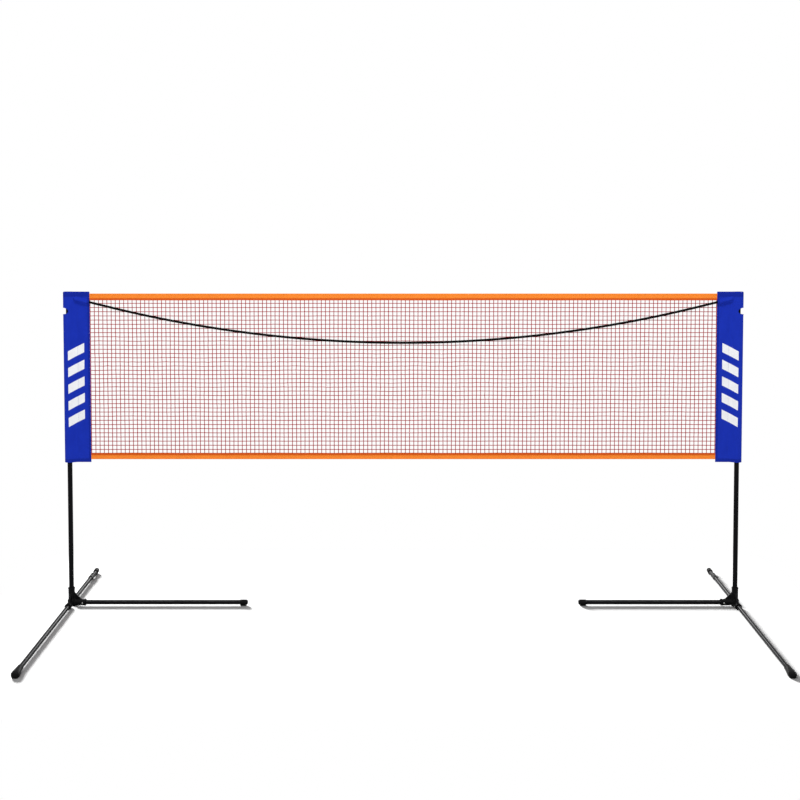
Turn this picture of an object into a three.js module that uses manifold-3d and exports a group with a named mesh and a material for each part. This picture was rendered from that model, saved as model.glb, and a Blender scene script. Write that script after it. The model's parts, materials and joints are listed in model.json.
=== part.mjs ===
// A free-standing badminton net set: two tube posts on moulded three-legged bases, fabric end sleeves,
// a square-mesh net between two folded tapes, and a cord that hangs between the sleeves.
// Millimetres, +X along the net, -Y towards the front legs, +Z up, floor at z = 0.
import * as THREE from "three";
import { mergeVertices } from "three/addons/utils/BufferGeometryUtils.js";
import Module from "manifold-3d";

const wasm = await Module();
wasm.setup();

// Layout of the set
const postSpacing = 3062; // between the post axes
const frontReach = 814; // post axis to the tip of the front foot
const rearReach = 463; // post axis to the tip of the rear foot, telescope as in the photo
const leftInwardReach = 814;
const rightInwardReach = 723;
const legAxisHeight = 15.3;
const fit = 0.3; // clearance between pieces that seat on each other
const overrun = 1; // how far a cutter passes the face it cuts

// Post tubes
const lowerPostOuter = 22;
const lowerPostWall = 1.2;
const lowerPostTop = 860;
const upperPostOuter = lowerPostOuter - 2 * lowerPostWall - 2 * fit;
const upperPostWall = 1;
const upperPostBottom = 640;
const plugDepth = 20; // how far a plug reaches into its tube
const plugFlange = 6;

// Leg tubes
const legOuter = 20;
const legWall = 1.2;
const rearInnerOuter = legOuter - 2 * legWall - 2 * fit;
const rearInnerWall = 1;
const rearOuterEnd = 350; // post axis to the mouth of the outer tube
const rearInnerStart = 150;

// Hub
const hubBlockSide = 32;
const hubBlockHeight = 31;
const hubBlockCorner = 6;
const postSocketTop = 85;
const postSocketFloor = 30;
const postSocketWallFoot = 2.9;
const postSocketWallTop = 3.6;
const postLipHeight = 6;
const postLipProud = 0.9;
const legSocketReach = 66;
const legSocketFloor = 20;
const legSocketWallRoot = 3.3;
const legSocketWallEnd = 4.1;
const legFlangeLength = 8;
const legFlangeProud = 1;
const edgeChamfer = 0.8;
const webThickness = 8;
const webHeight = 59; // top of the gusset web, above the floor
const webNeck = 17.5; // its top corner, from the post axis
const webReach = 47.5;
const webFootHeight = 29;

// Snap buttons and their springs
const buttonPlace = 52.5; // from the post axis
const buttonRadius = 3.2;
const buttonProud = 0.8; // above the socket
const buttonDome = 1.6;
const buttonFlangeRadius = 4.6;
const buttonFlangeThickness = 1.2;
const buttonSeat = 7; // leg axis to the top of the button's flange
const springThickness = 0.8;
const springWidth = 5;
const springPad = 7; // flat part under the button
const springReach = 28; // from the button to the bend
const springBend = 2;
const springHeel = 24; // the arm that lies on the far wall

// Twist locks
const colletSlot = 1.6;
const colletSlotShare = 0.7;
const collarWall = 1.7;
const collarGripDepth = 0.5;
const collarLip = 8;
const heightCollarLength = 44;
const rearCollarLength = 55;
const collarOverlapShare = 0.4; // share of the collar that covers the outer tube

// Feet
const footWall = 1.7;
const roundFootLength = 36;
const roundFootBore = 24;
const roundFootNose = 9;
const rearFootWall = 3.2;
const soleWidth = 12;
const frontFootLength = 75;
const frontFootWidth = 34.4;
const frontFootBore = 36;
const frontFootWall = 2.2;
const frontFootKeel = 22; // depth of the full section below the leg axis, cut off flat at the floor

// Sleeve
const sleeveTop = 1454;
const sleeveBottom = 669;
const sleeveOuterEdge = 22; // beyond the post axis
const sleeveInnerEdge = 99; // towards the net
const sleeveWall = 1.2;
const sleeveBulge = 30; // thickness round the post
const sleevePanel = 3; // thickness where its two layers lie together
const sleeveBlend = 40; // post axis to where the layers meet
const notchBelowTop = 88.5; // sleeve's top down to the middle of the bite in its outer edge
const notchHeight = 33;
const notchDepth = 24;

// Net, tapes and ropes
const topTapeInset = 9; // sleeve's top down to the top tape
const bottomTapeInset = 13; // sleeve's bottom up to the bottom tape
const topTapeDepth = 31;
const bottomTapeDepth = 29;
const tapeWall = 1;
const ropeDiameter = 5;
const netString = 2.6;
const netColumns = 28;
const netRows = 7;

// Cord
const cordDiameter = 11;
const cordForward = 7; // its route lies this far in front of the net
const cordExitBelowTop = 48;
const cordExitSlope = 0.24; // rise over run where it leaves the sleeve
const cordTailStart = 40; // post axis to the sewn end
const cordStub = 3; // how far the sewn end shows past the sleeve
const tunnelWall = 1.2;

// The cord's route, left half and middle: distance from the set's middle, then height
const cordRoute = [
  [1429, 1405.3],
  [1400, 1398.3],
  [1320, 1378.5],
  [1200, 1350.7],
  [1050, 1320],
  [900, 1293.5],
  [750, 1271],
  [600, 1252.7],
  [450, 1238.4],
  [300, 1228.2],
  [150, 1222],
  [0, 1220],
];
const cordArcSteps = 4; // on each half of its round section
const cordSteps = 72;

const fineSides = 24;
const plainSides = 20;
const smallSides = 12;

const black = new THREE.Color("#16171a");
const finishes = {
  tube: new THREE.MeshStandardMaterial({ color: black, roughness: 0.28, metalness: 0.6 }),
  plastic: new THREE.MeshStandardMaterial({ color: "#1b1c1f", roughness: 0.6, metalness: 0 }),
  rubber: new THREE.MeshStandardMaterial({ color: "#141414", roughness: 0.75, metalness: 0 }),
  steel: new THREE.MeshStandardMaterial({ color: "#b4b6ba", roughness: 0.3, metalness: 1 }),
  sleeve: new THREE.MeshStandardMaterial({ color: "#142ca8", roughness: 0.85, metalness: 0 }),
  tape: new THREE.MeshStandardMaterial({ color: "#f0822f", roughness: 0.85, metalness: 0 }),
  net: new THREE.MeshStandardMaterial({ color: "#6d3a40", roughness: 0.8, metalness: 0 }),
  rope: new THREE.MeshStandardMaterial({ color: "#e6e2d8", roughness: 0.9, metalness: 0 }),
  cord: new THREE.MeshStandardMaterial({ color: "#0c0c0d", roughness: 0.8, metalness: 0 }),
};

// A closed mesh as a solid that can be joined and cut.
function solid(geometry, matrix) {
  const bare = new THREE.BufferGeometry();
  const source = geometry.index ? geometry.toNonIndexed() : geometry;
  bare.setAttribute("position", source.getAttribute("position").clone());
  if (matrix) bare.applyMatrix4(matrix);
  const merged = mergeVertices(bare, 1e-4);
  const corners = [];
  const index = merged.index.array;
  for (let i = 0; i < index.length; i += 3) {
    const [a, b, c] = [index[i], index[i + 1], index[i + 2]];
    if (a !== b && b !== c && c !== a) corners.push(a, b, c);
  }
  const vertProperties = new Float32Array(merged.getAttribute("position").array);
  const make = (list) => {
    const mesh = new wasm.Mesh({ numProp: 3, vertProperties, triVerts: new Uint32Array(list) });
    return new wasm.Manifold(mesh);
  };
  const made = make(corners);
  return made.volume() < 0 ? make(corners.reverse()) : made;
}

// The solid's surface as a three.js geometry.
function surface(body) {
  const mesh = body.getMesh();
  const geometry = new THREE.BufferGeometry();
  geometry.setAttribute("position", new THREE.BufferAttribute(new Float32Array(mesh.vertProperties), 3));
  geometry.setIndex(new THREE.BufferAttribute(new Uint32Array(mesh.triVerts), 1));
  geometry.computeVertexNormals();
  return geometry;
}

function join(...bodies) {
  return bodies.reduce((whole, next) => whole.add(next));
}

function cut(body, ...cutters) {
  return cutters.reduce((whole, next) => whole.subtract(next), body);
}

// A turned solid about Z from a closed outline of [radius, height] points.
function turned(outline, sides) {
  const points = [...outline, outline[0]].map(([radius, height]) => new THREE.Vector2(radius, height));
  const geometry = new THREE.LatheGeometry(points, sides);
  return solid(geometry.rotateX(Math.PI / 2));
}

function rod(radius, from, to, sides) {
  return turned([[0, from], [radius, from], [radius, to], [0, to]], sides);
}

function tube(outer, wall, from, to, sides) {
  const inner = outer - wall;
  return turned([[inner, from], [outer, from], [outer, to], [inner, to]], sides);
}

// A flat outline of [across, up] points, made thick along the third direction.
function plate(outline, thickness, across, up, out) {
  const shape = new THREE.Shape(outline.map(([a, b]) => new THREE.Vector2(a, b)));
  const geometry = new THREE.ExtrudeGeometry(shape, { depth: thickness, bevelEnabled: false });
  const basis = new THREE.Matrix4().makeBasis(across, up, out);
  return solid(geometry, basis);
}

const alongX = new THREE.Vector3(1, 0, 0);
const alongY = new THREE.Vector3(0, 1, 0);
const alongZ = new THREE.Vector3(0, 0, 1);
const againstY = new THREE.Vector3(0, -1, 0);

function box(low, high) {
  const size = high.map((value, i) => value - low[i]);
  const middle = high.map((value, i) => (value + low[i]) / 2);
  const place = new THREE.Matrix4().makeTranslation(...middle);
  return solid(new THREE.BoxGeometry(...size), place);
}

function moved(body, x, y, z) {
  return body.translate([x, y, z]);
}

// Points of an arc from one angle to another, both ends included.
function arc(centreA, centreB, radiusA, radiusB, from, to, steps) {
  return Array.from({ length: steps + 1 }, (_, i) => {
    const angle = from + ((to - from) * i) / steps;
    return [centreA + radiusA * Math.cos(angle), centreB + radiusB * Math.sin(angle)];
  });
}

// A leg's own frame: its Z runs out along the leg and its X points down.
// The heading turns it from the inward direction about the post.
const headings = { inward: 0, front: -Math.PI / 2, rear: Math.PI / 2 };

function legFrame(heading) {
  const group = new THREE.Group();
  group.position.z = legAxisHeight;
  group.rotation.z = heading;
  const tipped = new THREE.Group();
  tipped.rotation.y = Math.PI / 2;
  group.add(tipped);
  return { group, tipped };
}

function inLegFrame(body, heading) {
  const matrix = new THREE.Matrix4().makeTranslation(0, 0, legAxisHeight);
  matrix.multiply(new THREE.Matrix4().makeRotationZ(heading));
  matrix.multiply(new THREE.Matrix4().makeRotationY(Math.PI / 2));
  return solid(surface(body), matrix);
}

// The snap button of a front or inward leg faces the leg frame's -Y; the rear one is turned to the same side.
const buttonTurns = { inward: 0, front: 0, rear: Math.PI };

const legRadius = legOuter / 2;
const legBore = legRadius + fit;
const postRadius = lowerPostOuter / 2;
const postBore = postRadius + fit;
const socketRadiusAtButton = legBore + legSocketWallEnd;
const buttonTop = socketRadiusAtButton + buttonProud;
const buttonTravel = buttonTop - legRadius;
const buttonHoleRadius = buttonRadius + fit;

// The hole that a snap button passes through, from the leg axis out past the socket.
function buttonHole(leg) {
  const hole = rod(buttonHoleRadius, 0, buttonTop + buttonTravel, smallSides);
  const towardsButton = new THREE.Matrix4().makeRotationX(Math.PI / 2);
  const placed = solid(surface(hole), towardsButton).translate([0, 0, buttonPlace]);
  const turn = new THREE.Matrix4().makeRotationZ(buttonTurns[leg]);
  return solid(surface(placed), turn);
}

function legSocket() {
  const rootRadius = legBore + legSocketWallRoot;
  const endRadius = legBore + legSocketWallEnd;
  const flangeRadius = endRadius + legFlangeProud;
  const flangeStart = legSocketReach - legFlangeLength;
  return turned(
    [
      [0, 0],
      [rootRadius, 0],
      [endRadius, flangeStart - edgeChamfer],
      [flangeRadius, flangeStart],
      [flangeRadius, legSocketReach - edgeChamfer],
      [flangeRadius - edgeChamfer, legSocketReach],
      [0, legSocketReach],
    ],
    fineSides,
  );
}

function postSocket() {
  const footRadius = postBore + postSocketWallFoot;
  const topRadius = postBore + postSocketWallTop;
  const lipRadius = topRadius + postLipProud;
  const lipStart = postSocketTop - postLipHeight;
  return turned(
    [
      [0, legAxisHeight],
      [footRadius, legAxisHeight],
      [topRadius, lipStart - edgeChamfer],
      [lipRadius, lipStart],
      [lipRadius, postSocketTop - edgeChamfer],
      [lipRadius - edgeChamfer, postSocketTop],
      [0, postSocketTop],
    ],
    fineSides,
  );
}

// The gusset web between the post socket and one leg socket.
function web() {
  const outline = [
    [0, legAxisHeight],
    [webReach, legAxisHeight],
    [webReach, webFootHeight],
    [webNeck, webHeight],
    [0, webHeight],
  ];
  return moved(plate(outline, webThickness, alongX, alongZ, againstY), 0, webThickness / 2, 0);
}

function roundedSquare(side, corner, steps) {
  const inset = side / 2 - corner;
  const quarters = [[1, 1], [-1, 1], [-1, -1], [1, -1]];
  return quarters.flatMap(([x, y], i) =>
    arc(x * inset, y * inset, corner, corner, (i * Math.PI) / 2, ((i + 1) * Math.PI) / 2, steps),
  );
}

// The moulded hub: one block with four sockets and three webs, bored for the tubes and flat underneath.
function hub() {
  const block = plate(roundedSquare(hubBlockSide, hubBlockCorner, 3), hubBlockHeight, alongX, alongY, alongZ);
  let body = join(block, postSocket());
  for (const heading of Object.values(headings)) {
    const turn = new THREE.Matrix4().makeRotationZ(heading);
    body = join(body, inLegFrame(legSocket(), heading), solid(surface(web()), turn));
  }
  body = cut(body, rod(postBore, postSocketFloor, postSocketTop + overrun, fineSides));
  for (const [leg, heading] of Object.entries(headings)) {
    const bore = rod(legBore, legSocketFloor, legSocketReach + overrun, fineSides);
    body = cut(body, inLegFrame(bore, heading), inLegFrame(buttonHole(leg), heading));
  }
  const reach = legSocketReach + overrun;
  const floor = box([-reach, -reach, -hubBlockHeight], [reach, reach, 0]);
  return cut(body, floor);
}

// A leg tube from the hub's socket floor, with the hole for its snap button.
function legTube(leg, end) {
  const body = tube(legRadius, legWall, legSocketFloor + fit, end, plainSides);
  return cut(body, buttonHole(leg));
}

// A snap button: a domed pin with a flange that rests under the tube's wall.
function snapButton() {
  const flangeBase = buttonSeat - buttonFlangeThickness;
  const dome = arc(0, buttonTop - buttonDome, buttonRadius, buttonDome, 0, Math.PI / 2, 3);
  return turned(
    [
      [0, flangeBase],
      [buttonFlangeRadius, flangeBase],
      [buttonFlangeRadius, buttonSeat],
      [buttonRadius, buttonSeat],
      ...dome,
    ],
    smallSides,
  );
}

// A bent strip of even thickness along a centre line of [across, up] points.
function strip(line, thickness) {
  const offset = (side) =>
    line.map(([a, b], i) => {
      const [fromA, fromB] = line[Math.max(i - 1, 0)];
      const [toA, toB] = line[Math.min(i + 1, line.length - 1)];
      const length = Math.hypot(toA - fromA, toB - fromB);
      const shift = (side * thickness) / 2 / length;
      return [a - (toB - fromB) * shift, b + (toA - fromA) * shift];
    });
  return [...offset(1), ...offset(-1).reverse()];
}

// The leaf spring: a flat pad under the button, a slanted arm, a bend, and a heel on the far wall.
function snapSpring() {
  const padHeight = -(buttonSeat - buttonFlangeThickness - fit - springThickness / 2);
  const farWall = Math.sqrt((legRadius - legWall) ** 2 - (springWidth / 2) ** 2);
  const heelHeight = farWall - fit - springThickness / 2;
  const bendMiddle = buttonPlace + springReach;
  const line = [
    [buttonPlace - springPad / 2, padHeight],
    [buttonPlace + springPad / 2, padHeight],
    [bendMiddle - springBend, heelHeight - 2 * springBend],
    ...arc(bendMiddle, heelHeight - springBend, springBend, springBend, -Math.PI / 2, Math.PI / 2, 6),
    [bendMiddle - springHeel, heelHeight],
  ];
  const body = plate(strip(line, springThickness), springWidth, alongZ, alongY, alongX.clone().negate());
  return moved(body, springWidth / 2, 0, 0);
}

// A plug with a flange that seats on a tube's end: it reaches from the flange into the tube.
function plug(tubeOuter, tubeWall, flange, dome, sides) {
  const plugRadius = tubeOuter - tubeWall - fit;
  const rounded = arc(0, flange - dome, tubeOuter, dome, 0, Math.PI / 2, 3);
  return turned(
    [
      [0, -plugDepth],
      [plugRadius, -plugDepth],
      [plugRadius, 0],
      [tubeOuter, 0],
      ...rounded,
    ],
    sides,
  );
}

// The split collet that stands on a tube's mouth and grips the inner tube when the collar turns.
function collet(outer, inner, length) {
  let body = turned([[inner, 0], [outer, 0], [outer, length], [inner, length]], plainSides);
  const slotStart = length * (1 - colletSlotShare);
  for (const turn of [0, Math.PI / 2]) {
    const reach = outer + overrun;
    const slot = box([-reach, -colletSlot / 2, slotStart], [reach, colletSlot / 2, length + overrun]);
    body = cut(body, solid(surface(slot), new THREE.Matrix4().makeRotationZ(turn)));
  }
  return body;
}

// The twist-lock collar: a fluted nut that covers the tube's mouth and the collet, with a lip in front.
function collar(outer, inner, length) {
  const bore = outer + fit;
  const grip = bore + collarWall;
  const flutes = 8;
  const pointsPerFlute = 4;
  const count = flutes * pointsPerFlute;
  const outline = Array.from({ length: count }, (_, i) => {
    const angle = (i * 2 * Math.PI) / count;
    const radius = grip - (collarGripDepth * (1 - Math.cos(flutes * angle))) / 2;
    return [radius * Math.cos(angle), radius * Math.sin(angle)];
  });
  const body = plate(outline, length, alongX, alongY, alongZ);
  const wide = rod(bore, -overrun, length - collarLip, plainSides);
  const narrow = rod(inner, 0, length + overrun, plainSides);
  return cut(body, wide, narrow);
}

// A round-nosed foot over a tube's end with a flat sole, in a leg's frame from its open end.
function roundFoot(tubeOuter, wall) {
  const radius = tubeOuter + fit + wall;
  const noseStart = roundFootLength - roundFootNose;
  const nose = arc(0, noseStart, radius, roundFootNose, 0, Math.PI / 2, 4);
  const body = turned([[0, 0], [radius - edgeChamfer, 0], [radius, edgeChamfer], ...nose], plainSides);
  const sole = box([0, -soleWidth / 2, edgeChamfer], [legAxisHeight, soleWidth / 2, noseStart]);
  return cut(join(body, sole), rod(tubeOuter + fit, -overrun, roundFootBore, plainSides));
}

// A closed surface through rings of points, with a fan at each end.
function loft(rings) {
  const positions = [];
  const index = [];
  const count = rings[0].length;
  for (const ring of rings) for (const point of ring) positions.push(...point);
  for (let r = 0; r + 1 < rings.length; r++) {
    for (let i = 0; i < count; i++) {
      const next = (i + 1) % count;
      const [a, b] = [r * count + i, r * count + next];
      const [c, d] = [a + count, b + count];
      index.push(a, b, d, a, d, c);
    }
  }
  const last = (rings.length - 1) * count;
  for (let i = 1; i + 1 < count; i++) {
    index.push(0, i + 1, i);
    index.push(last, last + i, last + i + 1);
  }
  const geometry = new THREE.BufferGeometry();
  geometry.setAttribute("position", new THREE.Float32BufferAttribute(positions, 3));
  geometry.setIndex(index);
  return solid(geometry);
}

// Stations of the front foot as shares: place along it, width towards the full width, top towards the
// collar's radius, and keel towards the full keel.
const frontFootShares = [
  [0, 0, 1, 0],
  [0.2, 0.08, 1, 0.3],
  [0.4, 0.42, 0.99, 0.75],
  [0.6, 0.82, 0.95, 1],
  [0.78, 1, 0.86, 1],
  [0.9, 0.9, 0.7, 1],
  [0.97, 0.55, 0.5, 0.8],
  [1, 0.1, 0.3, 0.45],
];

// The flared front foot: a boot that widens from the tube to a broad flat sole.
function frontFoot() {
  const collarRadius = legRadius + fit + frontFootWall;
  const rings = frontFootShares.map(([along, width, top, keel]) => {
    const halfWidth = collarRadius + (frontFootWidth / 2 - collarRadius) * width;
    const rise = collarRadius * top;
    const drop = collarRadius + (frontFootKeel - collarRadius) * keel;
    return Array.from({ length: plainSides }, (_, i) => {
      const angle = (i * 2 * Math.PI) / plainSides;
      const down = Math.cos(angle) > 0 ? drop * Math.cos(angle) : rise * Math.cos(angle);
      return [down, halfWidth * Math.sin(angle), along * frontFootLength];
    });
  });
  const wide = frontFootWidth;
  const floorEnd = frontFootLength + overrun;
  const floor = box([legAxisHeight, -wide, -overrun], [legAxisHeight + wide, wide, floorEnd]);
  return cut(loft(rings), floor, rod(legRadius + fit, -overrun, frontFootBore, plainSides));
}

// Half the sleeve's thickness at a distance from the post axis: an ellipse round the post's outer side,
// then a cosine blend into the flat two-layer panel.
function sleeveHalf(u, wall) {
  const bulge = sleeveBulge / 2 - wall;
  const panel = sleevePanel / 2 - wall;
  const edge = sleeveOuterEdge - wall;
  if (u <= 0) return bulge * Math.sqrt(Math.max(0, 1 - (u / edge) ** 2));
  if (u >= sleeveBlend) return panel;
  return panel + ((bulge - panel) * (Math.cos((Math.PI * u) / sleeveBlend) + 1)) / 2;
}

// The sleeve's outline, or its channel when a wall is given, as a closed loop of [u, y] points.
function sleeveOutline(wall, end) {
  const edge = sleeveOuterEdge - wall;
  const round = arc(0, 0, edge, sleeveHalf(0, wall), Math.PI, Math.PI / 2, 6);
  const blendEnd = Math.min(end, sleeveBlend);
  const steps = 6;
  const blend = Array.from({ length: steps }, (_, i) => {
    const u = (blendEnd * (i + 1)) / steps;
    return [u, sleeveHalf(u, wall)];
  });
  const upper = [...round, ...blend];
  if (end > sleeveBlend) upper.push([end, sleeveHalf(end, wall)]);
  const lower = upper.slice(1).map(([u, y]) => [u, -y]);
  return [...upper, ...lower.reverse()];
}

const sleeveHeight = sleeveTop - sleeveBottom;
const cordExitHeight = sleeveTop - cordExitBelowTop;
const channelEndShare = 0.86; // where the channel ends, as a share of the blend

// A round bar along the cord's sewn end, from one distance to another along the net.
function alongCordExit(radius, from, to, sides) {
  const stretch = Math.hypot(1, cordExitSlope);
  const body = rod(radius, (from - sleeveInnerEdge) * stretch, (to - sleeveInnerEdge) * stretch, sides);
  const matrix = new THREE.Matrix4().makeTranslation(sleeveInnerEdge, -cordForward, cordExitHeight);
  matrix.multiply(new THREE.Matrix4().makeRotationY(Math.PI / 2 + Math.atan(cordExitSlope)));
  return solid(surface(body), matrix);
}

// The end sleeve: a fabric channel over the post with a closed top, a flat panel towards the net, a bite
// in its outer edge, and a tunnel for the cord's sewn end.
function sleeve() {
  const full = plate(sleeveOutline(0, sleeveInnerEdge), sleeveHeight, alongX, alongY, alongZ);
  const channelOutline = sleeveOutline(sleeveWall, sleeveBlend * channelEndShare);
  const channelHeight = sleeveHeight - sleeveWall + overrun;
  const channel = plate(channelOutline, channelHeight, alongX, alongY, alongZ);
  const notchMiddle = sleeveTop - notchBelowTop;
  const notchOutline = arc(-sleeveOuterEdge, notchMiddle, notchDepth, notchHeight / 2, 0, 2 * Math.PI, 24);
  const bite = plate(notchOutline.slice(1), 2 * sleeveBulge, alongX, alongZ, againstY);
  const cordRadius = cordDiameter / 2;
  const tunnelStart = cordTailStart - fit;
  const ridgeRadius = cordRadius + fit + tunnelWall;
  const ridge = alongCordExit(ridgeRadius, tunnelStart - tunnelWall, sleeveInnerEdge + overrun, plainSides);
  const panelEnd = box(
    [sleeveInnerEdge, -sleeveBulge, sleeveBottom],
    [sleeveInnerEdge + sleeveBulge, sleeveBulge, sleeveTop],
  );
  const tunnel = alongCordExit(cordRadius + fit, tunnelStart, sleeveInnerEdge + 2 * overrun, plainSides);
  const body = cut(
    moved(full, 0, 0, sleeveBottom),
    moved(channel, 0, 0, sleeveBottom - overrun),
    moved(bite, 0, sleeveBulge, 0),
  );
  return cut(join(body, ridge), panelEnd, tunnel);
}

const netHalfWidth = postSpacing / 2 - sleeveInnerEdge - fit;
const ropeRadius = ropeDiameter / 2;
const foldRadius = ropeRadius + fit + tapeWall;
const slotHalf = netString / 2 + fit;
const headRopeHeight = sleeveTop - topTapeInset - foldRadius;
const footRopeHeight = sleeveBottom + bottomTapeInset + foldRadius;
const netTop = headRopeHeight - ropeRadius - fit;
const netBottom = footRopeHeight + ropeRadius + fit;

// A tape folded over a rope: a round fold above and two walls down to the sewn edge, as [y, z] points.
function tapeSection(depth) {
  const wallOuter = slotHalf + tapeWall;
  const foot = -(depth - foldRadius);
  const bore = foldRadius - tapeWall;
  const outerTurn = Math.acos(wallOuter / foldRadius);
  const innerTurn = Math.acos(slotHalf / bore);
  const outer = arc(0, 0, foldRadius, foldRadius, -outerTurn, Math.PI + outerTurn, 12);
  const inner = arc(0, 0, bore, bore, Math.PI + innerTurn, -innerTurn, 10);
  return [[wallOuter, foot], ...outer, [-wallOuter, foot], [-slotHalf, foot], ...inner, [slotHalf, foot]];
}

function tape(depth) {
  const body = plate(tapeSection(depth), 2 * netHalfWidth, alongY, alongZ, alongX);
  return moved(body, -netHalfWidth, 0, 0);
}

function rope() {
  const body = rod(ropeRadius, -netHalfWidth, netHalfWidth, smallSides);
  return solid(surface(body), new THREE.Matrix4().makeRotationY(Math.PI / 2));
}

// The net: a flat lattice of square strings. Its front is a grid of cells, where every second cell in both
// directions is a mesh opening, and each edge between string and opening gets a wall.
function netLattice() {
  const edges = (from, to, meshes) => {
    const step = (to - from - netString) / meshes;
    const starts = Array.from({ length: meshes + 1 }, (_, i) => from + i * step);
    return starts.flatMap((start) => [start, start + netString]);
  };
  const across = edges(-netHalfWidth, netHalfWidth, netColumns);
  const up = edges(netBottom, netTop, netRows);
  const inside = (i, j) => i >= 0 && j >= 0 && i < across.length - 1 && j < up.length - 1;
  const isString = (i, j) => inside(i, j) && !(i % 2 === 1 && j % 2 === 1);
  const front = -netString / 2;
  const back = netString / 2;
  const triangles = [];
  const quad = (a, b, c, d) => triangles.push(...a, ...b, ...c, ...a, ...c, ...d);
  for (let i = 0; i < across.length - 1; i++) {
    for (let j = 0; j < up.length - 1; j++) {
      if (!isString(i, j)) continue;
      const [x0, x1, z0, z1] = [across[i], across[i + 1], up[j], up[j + 1]];
      quad([x0, front, z0], [x1, front, z0], [x1, front, z1], [x0, front, z1]);
      quad([x0, back, z0], [x0, back, z1], [x1, back, z1], [x1, back, z0]);
      if (!isString(i - 1, j)) quad([x0, front, z0], [x0, front, z1], [x0, back, z1], [x0, back, z0]);
      if (!isString(i + 1, j)) quad([x1, front, z0], [x1, back, z0], [x1, back, z1], [x1, front, z1]);
      if (!isString(i, j - 1)) quad([x0, front, z0], [x0, back, z0], [x1, back, z0], [x1, front, z0]);
      if (!isString(i, j + 1)) quad([x0, front, z1], [x1, front, z1], [x1, back, z1], [x0, back, z1]);
    }
  }
  const geometry = new THREE.BufferGeometry();
  geometry.setAttribute("position", new THREE.Float32BufferAttribute(triangles, 3));
  return solid(geometry);
}

// The free cord along its route, mirrored about the middle of the set.
function freeCord() {
  const left = cordRoute.map(([out, height]) => new THREE.Vector3(-out, -cordForward, height));
  const right = left.slice(0, -1).reverse();
  const points = [...left, ...right.map((point) => new THREE.Vector3(-point.x, point.y, point.z))];
  const section = new THREE.Shape();
  section.absarc(0, 0, cordDiameter / 2, 0, 2 * Math.PI);
  const geometry = new THREE.ExtrudeGeometry(section, {
    steps: cordSteps,
    curveSegments: cordArcSteps,
    bevelEnabled: false,
    extrudePath: new THREE.CatmullRomCurve3(points),
  });
  return solid(geometry);
}

function addPiece(parent, name, body, finish) {
  const mesh = new THREE.Mesh(surface(body), finish.clone());
  mesh.name = name;
  parent.add(mesh);
  return mesh;
}

// A snap button with its spring, in a leg's frame.
function addSnap(frame, name, leg) {
  const turned = new THREE.Group();
  turned.rotation.z = buttonTurns[leg];
  frame.add(turned);
  const button = addPiece(turned, name + "_button", snapButton(), finishes.steel);
  button.position.z = buttonPlace;
  button.rotation.x = Math.PI / 2;
  addPiece(turned, name + "_spring", snapSpring(), finishes.steel);
}

// A tube's mouth with its collet and collar, in the frame of the tube.
function addTwistLock(frame, colletName, collarName, outer, innerRadius, mouth, length) {
  const clear = innerRadius + fit;
  const start = mouth - length * collarOverlapShare;
  const colletLength = start + length - collarLip - mouth - 2 * fit;
  addPiece(frame, colletName, collet(outer, clear, colletLength), finishes.plastic).position.z = mouth + fit;
  addPiece(frame, collarName, collar(outer, clear, length), finishes.plastic).position.z = start;
}

// The straight pieces of the post: two tubes, the twist lock between them, a guide plug and a cap.
function addPost(parent, side) {
  const lower = tube(postRadius, lowerPostWall, postSocketFloor + fit, lowerPostTop, fineSides);
  addPiece(parent, side + "_lower_post", lower, finishes.tube);
  const upperRadius = upperPostOuter / 2;
  addTwistLock(
    parent,
    side + "_height_collet",
    side + "_height_collar",
    postRadius,
    upperRadius,
    lowerPostTop,
    heightCollarLength,
  );
  const capTop = sleeveTop - sleeveWall - fit;
  const upperTop = capTop - plugFlange - fit;
  const upper = tube(upperRadius, upperPostWall, upperPostBottom, upperTop, fineSides);
  addPiece(parent, side + "_upper_post", upper, finishes.tube);
  const cap = plug(upperRadius, upperPostWall, plugFlange, plugFlange / 2, smallSides);
  addPiece(parent, side + "_post_cap", cap, finishes.plastic).position.z = upperTop + fit;
  const glide = plug(upperRadius, upperPostWall, plugFlange, edgeChamfer, smallSides);
  const glideMesh = addPiece(parent, side + "_upper_post_glide", glide, finishes.plastic);
  glideMesh.position.z = upperPostBottom - fit;
  glideMesh.rotation.x = Math.PI;
}

function addInwardLeg(parent, side, reach) {
  const { group, tipped } = legFrame(headings.inward);
  parent.add(group);
  const footStart = reach - roundFootLength;
  const end = footStart + roundFootBore - fit;
  addPiece(tipped, side + "_inward_leg", legTube("inward", end), finishes.tube);
  const foot = roundFoot(legRadius, footWall);
  addPiece(tipped, side + "_inward_foot", foot, finishes.rubber).position.z = footStart;
  addSnap(tipped, side + "_inward", "inward");
}

function addFrontLeg(parent, side) {
  const { group, tipped } = legFrame(headings.front);
  parent.add(group);
  const footStart = frontReach - frontFootLength;
  const end = footStart + frontFootBore - fit;
  addPiece(tipped, side + "_front_leg", legTube("front", end), finishes.tube);
  addPiece(tipped, side + "_front_foot", frontFoot(), finishes.rubber).position.z = footStart;
  addSnap(tipped, side + "_front", "front");
}

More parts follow.
